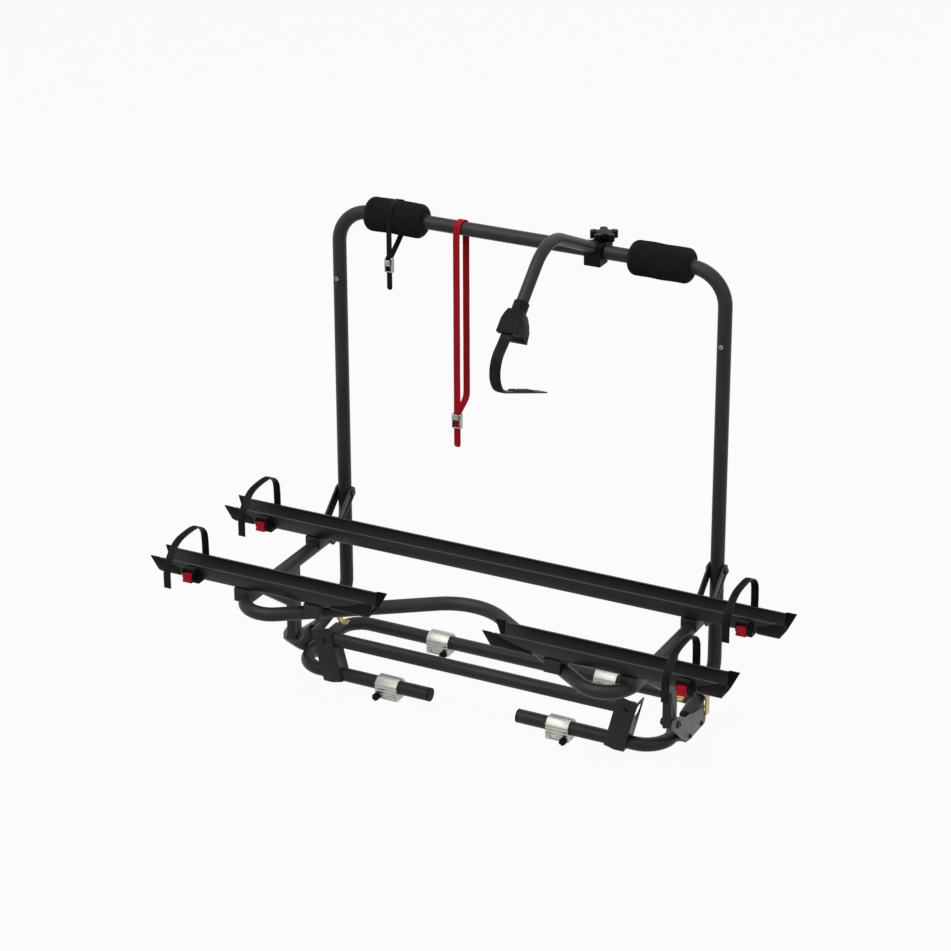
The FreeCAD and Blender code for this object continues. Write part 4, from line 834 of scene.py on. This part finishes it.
def bolt(kind, x, y, z, axis):
    # a head on a face, y measured from the hoop, its shank and, where it has one, the nut at the far face
    size, at, axis = boltSizes[kind], Vector((x, hoopY + y, z)), Vector(axis)
    made = [socketHead("head", size["head"], size["high"], at, axis),
            turnedRod("shank", size["shank"], size["long"], at + axis * size["sunk"], -axis)]
    if "nut" in size:
        made.append(turnedRod("nut", size["head"], size["nut"], at - axis * size["grip"], -axis,
                              around=6, chamfer=size["head"] * hexSocket["nutRound"]))
    return made


def fixings(name, pieces, finish, body, cadNode):
    # the pieces as one object, dressed and placed on its body
    whole = joined(name, pieces)
    whole.data.materials.clear()
    whole.data.materials.append(finish)
    smoothed(whole, smoothAngle)
    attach(whole, body)
    if cadNode:
        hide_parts(cadNode)


# sunk: how far the shank starts inside the head; grip: from the head's face to the nut's
boltSizes = {
    "hoop": {"head": 0.005, "high": 0.003, "shank": 0.0025, "long": 0.004, "sunk": 0.0005},
    "brace": {"head": 0.0068, "high": 0.005, "shank": 0.004, "long": 0.046, "sunk": 0.004,
              "nut": 0.005, "grip": 0.038},
    "rail": {"head": 0.0065, "high": 0.003, "shank": 0.003, "long": 0.011, "sunk": 0.001},
    "bracket": {"head": 0.005, "high": 0.004, "shank": 0.003, "long": 0.008, "sunk": 0.001},
    "pivot": {"head": 0.0085, "high": 0.005, "shank": 0.005, "long": 0.0355, "sunk": 0.001,
              "nut": 0.007, "grip": 0.0305},
    "link": {"head": 0.005, "high": 0.004, "shank": 0.003, "long": 0.009, "sunk": 0.001},
}
# right-hand bolts: kind, x, y from the hoop, height, and the way the head faces
braceFace = hoopX + 0.019
rackBolts = [("hoop", hoopX, -0.015, 0.8435, (0, -1, 0)),
             ("brace", braceFace, 0.0, 0.338, (1, 0, 0)), ("brace", braceFace, -0.085, 0.262, (1, 0, 0)),
             ("rail", hoopX, -0.124, 0.2885, (0, 0, 1)), ("rail", hoopX, -0.426, 0.2945, (0, 0, 1)),
             ("rail", 0.278, -0.426, 0.2945, (0, 0, 1))]
bracketFace = 0.466
baseBolts = [("bracket", bracketFace, -0.110, 0.031, (1, 0, 0)),
             ("bracket", bracketFace, -0.170, 0.029, (1, 0, 0)),
             ("pivot", bracketFace, -0.235, 0.088, (1, 0, 0)), ("link", 0.3579, -0.266, 0.108, (0, -1, 0))]
for name, places, finish, body, cadNode in (("rackBolts", rackBolts, rackBoltSteel, "rack", "rack_bolts"),
                                            ("baseBolts", baseBolts, boltSteel, "base", "base_bolts")):
    pieces = [piece for place in places for piece in bolt(*place)]
    fixings(name, pieces + mirrored(pieces, "twin"), finish, body, cadNode)

armScrew = {"at": (0.1475, hoopY - 0.0082, barZ + 0.0189), "radius": 0.0061, "height": 0.0079,
            "chamfer": 0.0008}
fixings("armScrew", [turnedRod("armScrew", armScrew["radius"], armScrew["height"], armScrew["at"], (0, 0, 1),
                               chamfer=armScrew["chamfer"])], screwChrome, "frame_arm", None)
print("bolts made")


# closed ends of the hoop's feet, and grip ridges on the red levers
footEnd = {"y": -0.148, "z": 0.0605, "slope": math.radians(12.8), "radius": 0.01305, "deep": 0.004,
           "inside": 0.0004, "chamfer": 0.0005}
lower = Vector((0, -math.cos(footEnd["slope"]), -math.sin(footEnd["slope"])))
mouth = Vector((hoopX, hoopY + footEnd["y"], footEnd["z"])) - lower * (footEnd["deep"] + footEnd["inside"])
pieces = [turnedRod("footEnd", footEnd["radius"], footEnd["deep"], mouth, lower, chamfer=footEnd["chamfer"])]
fixings("footEnds", pieces + mirrored(pieces, "twin"), tubePaint, "rack", None)

leverGrip = {"shift": 0.006, "face": 0.052, "rises": (0.0042, 0.0057, 0.0072), "radius": 0.0006,
             "half": 0.0095}
for row, side, way in wheelSpots:
    place = wheelStrap[row]
    start = way * wheelStrap["x"] + leverGrip["shift"] - leverGrip["half"]
    front = hoopY - place["y"] - leverGrip["face"]
    ridges = [turnedRod("ridge", leverGrip["radius"], leverGrip["half"] * 2,
                        (start, front, place["low"] + rise), (1, 0, 0), around=10)
              for rise in leverGrip["rises"]]
    fixings("%s%sLeverGrip" % (row, side.capitalize()), ridges, leverPlastic,
            "%s_%s_wheel_lever" % (row, side), None)
print("foot ends and lever grips made")


# cam buckles of the two woven straps
# Out is forwards from the tape, Back is behind it, Up is from the pin and In is from a cheek's end
camBuckle = {"room": 0.0002, "cheek": 0.002, "high": 0.034, "deep": 0.012, "corner": 0.0034,
             "lip": 0.0003, "lipHigh": 0.00005,
             "pinOut": 0.00475, "pin": 0.0015, "rivet": 0.0022, "rivetHigh": 0.0009, "rivetRound": 0.0004,
             "barBack": 0.004, "barIn": 0.003, "lowBar": 0.0012, "lowOut": 0.0036, "lowIn": 0.002}
camShape = {"radius": 0.0039, "round": 0.0003, "clear": 0.0003,
            "knurls": 7, "knurl": 0.0006, "bite": 0.0036, "sweep": 55,
            "thumbOut": 0.0095, "thumbUp": 0.0065, "thumbThick": 0.0024, "thumbHigh": 0.011,
            "thumbCorner": 0.002, "thumbRound": 0.0009, "thumbTop": 0.008,
            "neckOut": 0.0078, "neckUp": 0.001, "neckThick": 0.003, "neckHigh": 0.0038,
            "ridge": 0.0005, "ridgeOut": 0.0107, "ridgesUp": (0.0045, 0.0065, 0.0085)}


def buckleFrame(x, y, z, half, drop):
    # stamped cheeks with round corners, their rivets, and the bars between them
    middle, high = z - drop, camBuckle["high"] / 2
    pinY = y - camBuckle["pinOut"]
    pieces = []
    for way in (-1, 1):
        cheek = block("cheek", (x + way * (half - camBuckle["cheek"] / 2), y, middle),
                      (camBuckle["cheek"], camBuckle["deep"], camBuckle["high"]))
        pickEdges(cheek, lambda a, b: abs(a.x - b.x) > 1e-4)
        bpy.ops.mesh.bevel(offset=camBuckle["corner"], segments=5, affect="EDGES")
        done(cheek)
        pickFaces(cheek, lambda face: abs(face.normal.x) > 0.9)
        bpy.ops.mesh.inset(thickness=camBuckle["lip"], depth=camBuckle["lipHigh"])
        pieces.append(done(cheek))
        pieces.append(turnedRod("rivet", camBuckle["rivet"], camBuckle["rivetHigh"],
                                (x + way * half, pinY, z), (way, 0, 0), 20, camBuckle["rivetRound"]))
    for level in (middle + high - camBuckle["barIn"], middle - high + camBuckle["barIn"]):
        pieces.append(turnedRod("bar", camBuckle["pin"], half * 2,
                                (x - half, y + camBuckle["barBack"], level), (1, 0, 0), 20))
    pieces.append(turnedRod("pin", camBuckle["pin"], half * 2, (x - half, pinY, z), (1, 0, 0), 20))
    pieces.append(turnedRod("lowerBar", camBuckle["lowBar"], half * 2,
                            (x - half, y - camBuckle["lowOut"], middle - high + camBuckle["lowIn"]),
                            (1, 0, 0), 16))
    return pieces


def buckleCam(x, y, z, reach):
    # a barrel with teeth that bite the tape, and a thumb plate with grip ridges on a neck
    pinY = y - camBuckle["pinOut"]
    pieces = [turnedRod("barrel", camShape["radius"], reach * 2, (x - reach, pinY, z), (1, 0, 0), 28,
                        camShape["round"], bothEnds=True)]
    for i in range(camShape["knurls"]):
        angle = math.radians(camShape["sweep"] * (2 * i / (camShape["knurls"] - 1) - 1))
        pieces.append(barAcross("knurl", 4, camShape["knurl"], reach * 1.9,
                                (x, pinY + math.cos(angle) * camShape["bite"],
                                 z + math.sin(angle) * camShape["bite"])))
    top = z + camShape["thumbTop"]
    thumb = block("thumb", (x, y - camShape["thumbOut"], z + camShape["thumbUp"]),
                  (reach * 2, camShape["thumbThick"], camShape["thumbHigh"]))
    pickEdges(thumb, lambda a, b: abs(a.z - b.z) < 1e-5 and abs(a.x - b.x) > 1e-4 and a.z > top)
    bpy.ops.mesh.bevel(offset=camShape["thumbRound"], segments=3, affect="EDGES")
    done(thumb)
    pickEdges(thumb, lambda a, b: abs(a.x - b.x) < 1e-6 and abs(a.z - b.z) < 1e-6 and a.z > top)
    bpy.ops.mesh.bevel(offset=camShape["thumbCorner"], segments=4, affect="EDGES")
    pieces.append(done(thumb))
    for rise in camShape["ridgesUp"]:
        pieces.append(barAcross("ridge", 8, camShape["ridge"], reach * 1.5,
                                (x, y - camShape["ridgeOut"], z + rise)))
    pieces.append(block("neck", (x, y - camShape["neckOut"], z + camShape["neckUp"]),
                        (reach * 2, camShape["neckThick"], camShape["neckHigh"])))
    return pieces


def buckle(kind, z):
    x, y = webTape[kind]["x"], hoopY - buckleHang[kind]["forward"]
    inner = webTape[kind]["width"] / 2 + camBuckle["room"]
    cheeks = buckleFrame(x, y, z, inner + camBuckle["cheek"], buckleHang[kind]["drop"])
    fixings(kind + "Buckle", cheeks, platedSteel, kind + "_strap", kind + "_buckle")
    cam = buckleCam(x, y, z, inner - camShape["clear"])
    fixings(kind + "BuckleCam", cam, platedSteel, kind + "_cam", kind + "_cam")


# how far the tape hangs in front of the hoop, and from the pin down to the cheeks' middle
buckleHang = {"pad": {"forward": 0.03605, "drop": 0.001}, "red": {"forward": 0.018, "drop": 0.006}}
padLow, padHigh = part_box("pad_buckle")
buckle("pad", (padLow.z + padHigh.z) / 2)
redLow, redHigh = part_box("red_buckle")
buckle("red", (redLow.z + redHigh.z) / 2)
print("cam buckles made")
